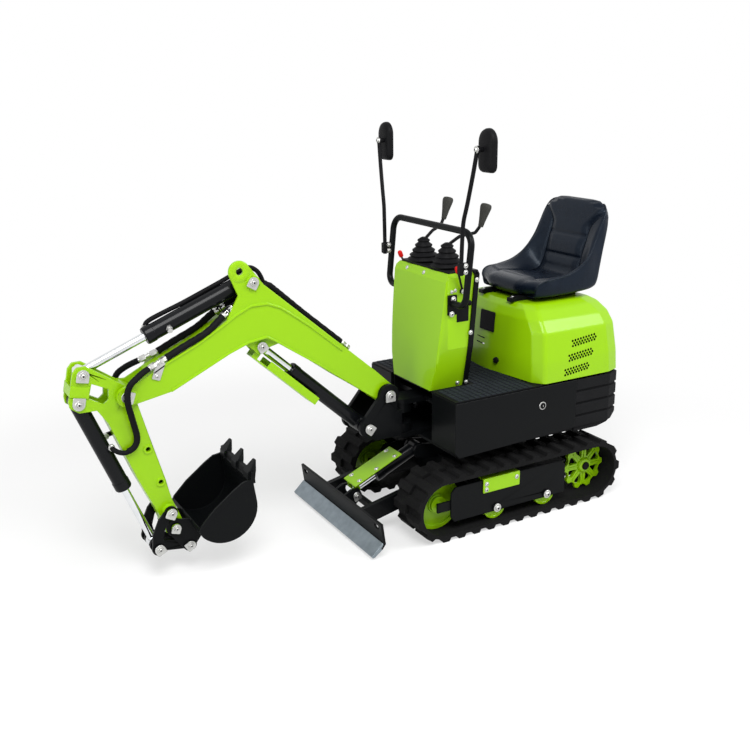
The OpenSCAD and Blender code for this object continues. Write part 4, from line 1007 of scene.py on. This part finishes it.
def makeHood(s):
    levels = rollLevels([Vector(r) for r in s["levels"]], s["roll"])
    bm = bmesh.new()
    rings = []
    for z, half, nose, rear in levels:
        plan = roundCorners(hoodPlan(half, nose, rear, s), s["corners"], s["arc"])
        rings.append([bm.verts.new(at(p.x, p.y, z)) for p in plan])
    skin(bm, rings, 0, False)
    bm.faces.new(rings[-1])
    bmesh.ops.recalc_face_normals(bm, faces=bm.faces)
    if max(bm.faces, key=lambda f: len(f.verts)).normal.z < 0:
        bmesh.ops.reverse_faces(bm, faces=bm.faces)
    shell = finishPiece(bm, "hoodShell", "hood_body", ["lime", "plastic"], 32, ["hood"])
    wall = shell.modifiers.new("wall", "SOLIDIFY")
    wall.thickness = s["thick"]
    wall.offset = -1
    wall.use_even_offset = True
    tool = bmesh.new()
    for group in range(s["holeGroups"]):
        for row in range(s["holeRows"]):
            for i in range(s["holes"]):
                x = s["firstX"] + s["groupX"] * group + s["stepX"] * (i + (row % 2) / 2)
                z = s["firstZ"] + s["groupZ"] * group + s["rowZ"] * row + s["stepZ"] * i
                for side in (1, -1):
                    turned(tool, (x, side * s["holeY"], z), (0, side, 0), s["hole"], 6)
    for z in s["slotZ"]:
        flatPiece(tool, (*s["slotAt"], z), (0, 1, 0), (0, 0, 1), roundRect(*s["slotForm"]), *s["slotThick"])
    # the walls of the vents and slots take the dark plastic: painted shade inside the holes
    for f in tool.faces:
        f.material_index = 1
    punchOut(shell, tool)
    bm = bmesh.new()
    leaf, barrel = s["leaf"], s["barrel"]
    for y in s["knuckleY"]:
        flatPiece(bm, (leaf[0], y, leaf[1]), (1, 0, 0), (0, 0, 1), roundRect(*s["leafForm"]), *s["leafThick"])
        turned(bm, (barrel[0], y - s["leafForm"][1] / 2, barrel[1]), (0, 1, 0), s["barrelForm"], 20)
    finishPiece(bm, "hoodKnuckles", "hood_body", ["lime"])
    print("hood faces:", len(shell.data.polygons))


# painted shade: dark sheets close behind the vents stand in for the shade inside the hood. A wall row gives the half
# width at a height of the shell beside them
ventShadeSet = dict(x0=-416, x1=-192, behind=8.5, thick=2.0, heights=(566, 640, 768),
               walls=[(328, 556), (324, 640), (300, 786)])


def wallAt(z, walls):
    for (y0, z0), (y1, z1) in zip(walls, walls[1:]):
        if z <= z1:
            return y0 + (y1 - y0) * (z - z0) / (z1 - z0)


def makeVentShadeSheets(s):
    bm = bmesh.new()
    outer = [(wallAt(z, s["walls"]) - s["behind"], z) for z in s["heights"]]
    inner = [(y - s["thick"], z) for y, z in reversed(outer)]
    for side in (1, -1):
        skin(bm, [[bm.verts.new(at(x, side * y, z)) for y, z in outer + inner] for x in (s["x0"], s["x1"])])
    finishPiece(bm, "ventShadeSheets", "hood_body", ["plastic"])


makeHood(hoodSet)
makeVentShadeSheets(ventShadeSet)
print("hood, console and deck made")

# joysticks: bellows boots, bent levers and flattened grips
leverSet = dict(boot=(204, 86, 1028), lever=6.6, grip=(78, 131, 1183), gripLean=(-24, 3, 82), gripFlat=0.74,
                folds=[(50, -0.5), (60, 2), (65, 5), (66, 8), (64, 12), (54, 18), (53, 20), (57.5, 24), (57, 28),
                       (44, 36), (43, 38), (47, 43), (46, 47), (33, 56), (32, 58), (36, 63), (35, 67), (23, 76),
                       (22.5, 78), (26, 83), (24.5, 87), (14, 94), (9, 97)],
                bend=[(198, 86, 1116), (189, 88, 1122), (158, 96, 1143), (146, 99.5, 1148), (110, 117, 1156),
                      (98, 123, 1160), (90, 126.5, 1170), (78.5, 131, 1187)],
                hand=[(11, -2), (12.5, 3), (14, 14), (18.5, 38), (24, 62), (26.5, 74), (26, 82), (22, 88),
                      (13, 90.6), (3, 91.2)],
                panel=(203, 0, 1020), panelForm=(352, 105, 6), panelThick=8, panelLip=1.5)


def makeLevers(s):
    bm = bmesh.new()
    for side in (1, -1):
        boot, grip, lean = mirrored([s["boot"], s["grip"], s["gripLean"]], side)
        turned(bm, boot, (0, 0, 1), s["folds"], 48)
        sweep(bm, spline(mirrored(s["bend"], side), 6), s["lever"], 16)
        turned(bm, grip, lean, s["hand"], 32, 1, s["gripFlat"])
    flatPiece(bm, s["panel"], (0, 1, 0), (0, 0, 1), roundRect(*s["panelForm"]), s["panelThick"], s["panelLip"])
    finishPiece(bm, "joystickSet", "house", ["plastic", "grip"], 50, ["control_levers"])


makeLevers(leverSet)

# lock levers: red knobs on thin black rods
lockSet = dict(foot=(206, 200, 952), neck=(235, 210.5, 1030), rod=4.2, steps=6,
               pivot=(206, 193, 952), pivotForm=[(10, 0), (10, 10), (8.5, 12)],
               knob=[(4, -4), (8, -2), (9.6, 4), (9.8, 16), (8.6, 22), (5, 25.5), (1.5, 26.5)])


def makeLockLevers(s):
    rods, knobs = bmesh.new(), bmesh.new()
    for side in (1, -1):
        a, b, pivot = [Vector(p) for p in mirrored([s["foot"], s["neck"], s["pivot"]], side)]
        turned(rods, pivot, (0, side, 0), s["pivotForm"], 24)
        sweep(rods, [a + (b - a) * t / s["steps"] for t in range(s["steps"] + 1)], s["rod"], 12)
        turned(knobs, b, b - a, s["knob"], 24)
    finishPiece(rods, "lockRods", "house", ["plastic"], 40, ["lock_levers"])
    finishPiece(knobs, "lockKnobs", "house", ["red"], 40)


makeLockLevers(lockSet)
print("levers made")

# small fittings: screws, blank plates, knobs and caps. Screws on both sides have x, y, z and size; those of the
# blade cylinder's shield are measured along the cylinder
fittingSet = dict(
    houseScrews=[(249, 201, 926, 7), (256, 201, 868, 7), (236, 193, 957, 4.5), (252, 193, 953, 4.5),
                 (166, 200.5, 783, 6), (140, 200.5, 990, 6), (151, 153, 566, 6), (188, 146, 566, 6),
                 (206, 205, 952, 6)],
    trackScrews=[(32, 351, 196, 6), (181, 351, 196, 6), (181, 351, 172, 6), (-128, 353.5, 82, 11),
                 (128, 353.5, 82, 11)],
    shieldHeart=(300, 262), shieldAlong=(0.917, -0.3986), shieldHigh=43, shieldSize=6,
    shieldScrews=[(112, 34), (112, -34), (205, 34), (292, 34), (292, -34)],
    browX=270.6, browZ=1004, browY=(-105, 22), browAxis=(0.88, 0, 0.47), browSize=5.5,
    consolePlate=(200, 192.8, 866), consolePlateForm=(72, 56, 3), consolePlateThick=(1.2, 0.4),
    consoleKnob=(180, 193, 905), consoleKnobForm=[(7, -1), (7, 6), (10, 9), (11.5, 15), (9.5, 21), (5, 24)],
    hoodPlate=(-58.5, 6, 762), hoodPlateForm=(84, 94, 4), hoodPlateThick=(4, 0.5), hoodPlateUp=(-0.08, 0, 1),
    hoodPlateOut=(0.99, 0.03, 0.08),
    hoodKnob=(-54, 79, 606), hoodKnobOut=(0.99, 0.14, 0.02),
    hoodKnobForm=[(13, -4), (13, 5), (11, 7), (11, 11), (7, 13)],
    lock=(-104, 329, 468), lockRim=[(17, -2), (17, 2), (16, 3.5), (13, 3.5), (12.5, 2.5)],
    lockBarrel=[(13, -2), (13, 4.5), (11, 6.5), (4.5, 7), (4.2, 5)],
    keyhole=(-104, 333, 468), keyholeForm=(9, 2.4, 1), keyholeThick=(2.6, 0.4))


def makeFittings(s):
    house, left, up = kit("house"), (0, 1, 0), (0, 0, 1)
    for side in (1, -1):
        for body, rows in (("house", s["houseScrews"]), ("undercarriage", s["trackScrews"])):
            for x, y, z, size in rows:
                domeBolt(kit(body), (x, side * y, z), (0, side, 0), size)
    ax, az = s["shieldAlong"]
    for t, y in s["shieldScrews"]:
        x, z = offLine(s["shieldHeart"], s["shieldAlong"], t, s["shieldHigh"])
        domeBolt(kit("blade_rod_body"), (x, y, z), (-az, 0, ax), s["shieldSize"])
    for y in s["browY"]:
        domeBolt(house, (s["browX"], y, s["browZ"]), s["browAxis"], s["browSize"])
    bm = bmesh.new()
    flatPiece(bm, s["consolePlate"], up, left, roundRect(*s["consolePlateForm"]), *s["consolePlateThick"])
    turned(bm, s["consoleKnob"], left, s["consoleKnobForm"], 24)
    finishPiece(bm, "consoleTrim", "house", ["plastic"])
    bm = bmesh.new()
    flatPiece(bm, s["hoodPlate"], s["hoodPlateUp"], s["hoodPlateOut"], roundRect(*s["hoodPlateForm"]),
              *s["hoodPlateThick"])
    turned(bm, s["hoodKnob"], s["hoodKnobOut"], s["hoodKnobForm"], 24)
    finishPiece(bm, "hoodTrim", "hood_body", ["plastic"])
    turned(house, s["lock"], left, s["lockRim"], 28)
    turned(house, s["lock"], left, s["lockBarrel"], 28, 1)
    flatPiece(house, s["keyhole"], up, left, roundRect(*s["keyholeForm"]), *s["keyholeThick"])


makeFittings(fittingSet)
for body, bm in kits.items():
    finishPiece(bm, "fasteners_" + body, body, ["zinc", "plastic"])
print("fittings made")

# plain pale floor, white world and three soft lamps. A lamp has its place, its aim, its size and its watts
stageSet = dict(floorSize=14.0, clearRadius=1.5, fadeRadius=2.6, leastGlow=0.55, floorTone=0.9, worldLight=0.36,
                lamps=dict(keyLamp=((1.2, 2.6, 4.2), (0, 0, 0.5), 2.4, 190),
                           sideLamp=((-2.6, 2.2, 3.0), (-0.3, 0, 0.6), 1.7, 85),
                           frontLamp=((4.0, 0.6, 1.8), (0.3, 0, 0.5), 2.0, 50)))


def makeWorld(s):
    world = bpy.data.worlds.new("studio")
    scene.world = world
    world.use_nodes = True
    tree = world.node_tree
    tree.nodes.clear()
    path = addNode(tree, "ShaderNodeLightPath")
    first = addNode(tree, "ShaderNodeMath", operation="MAXIMUM")
    seen = addNode(tree, "ShaderNodeMath", operation="MAXIMUM")
    white = addNode(tree, "ShaderNodeBackground", Color=rgb(1, 1, 1), Strength=1.0)
    soft = addNode(tree, "ShaderNodeBackground", Color=rgb(1, 1, 1), Strength=s["worldLight"])
    mix = addNode(tree, "ShaderNodeMixShader")
    out = addNode(tree, "ShaderNodeOutputWorld")
    join(tree, (path.outputs["Is Camera Ray"], first.inputs[0]), (path.outputs["Is Glossy Ray"], first.inputs[1]),
         (first.outputs[0], seen.inputs[0]), (path.outputs["Is Transmission Ray"], seen.inputs[1]),
         (seen.outputs[0], mix.inputs[0]), (soft.outputs[0], mix.inputs[1]), (white.outputs[0], mix.inputs[2]),
         (mix.outputs[0], out.inputs["Surface"]))


def makeFloor(s):
    half = s["floorSize"] / 2
    mesh = bpy.data.meshes.new("floor")
    mesh.from_pydata([(-half, -half, 0), (half, -half, 0), (half, half, 0), (-half, half, 0)], [], [(0, 1, 2, 3)])
    floor = bpy.data.objects.new("floor", mesh)
    scene.collection.objects.link(floor)
    mat = bpy.data.materials.new("paleFloor")
    mat.use_nodes = True
    tree = mat.node_tree
    shader = tree.nodes["Principled BSDF"]
    shader.inputs["Base Color"].default_value = rgb(*[s["floorTone"]] * 3)
    shader.inputs["Roughness"].default_value = 0.9
    glow = addNode(tree, "ShaderNodeEmission", Color=rgb(1, 1, 1), Strength=1.0)
    coord = addNode(tree, "ShaderNodeTexCoord")
    far = addNode(tree, "ShaderNodeVectorMath", operation="LENGTH")
    fade = addNode(tree, "ShaderNodeMapRange", interpolation_type="SMOOTHSTEP")
    fade.inputs["From Min"].default_value = s["clearRadius"]
    fade.inputs["From Max"].default_value = s["fadeRadius"]
    fade.inputs["To Min"].default_value = s["leastGlow"]
    path = addNode(tree, "ShaderNodeLightPath")
    first = addNode(tree, "ShaderNodeMath", operation="MAXIMUM")
    share = addNode(tree, "ShaderNodeMath", operation="MULTIPLY")
    mix = addNode(tree, "ShaderNodeMixShader")
    join(tree, (coord.outputs["Object"], far.inputs[0]), (far.outputs["Value"], fade.inputs["Value"]),
         (path.outputs["Is Camera Ray"], first.inputs[0]), (path.outputs["Is Glossy Ray"], first.inputs[1]),
         (first.outputs[0], share.inputs[0]), (fade.outputs["Result"], share.inputs[1]),
         (share.outputs[0], mix.inputs[0]), (shader.outputs[0], mix.inputs[1]), (glow.outputs[0], mix.inputs[2]),
         (mix.outputs[0], tree.nodes["Material Output"].inputs["Surface"]))
    mesh.materials.append(mat)


def makeLamp(name, spot, target, size, watts):
    data = bpy.data.lights.new(name, "AREA")
    data.energy = watts
    data.size = size
    lamp = bpy.data.objects.new(name, data)
    scene.collection.objects.link(lamp)
    lamp.location = spot
    lamp.rotation_euler = (Vector(target) - Vector(spot)).to_track_quat("-Z", "Y").to_euler()


makeWorld(stageSet)
makeFloor(stageSet)
for name, values in stageSet["lamps"].items():
    makeLamp(name, *values)
print("stage lit")
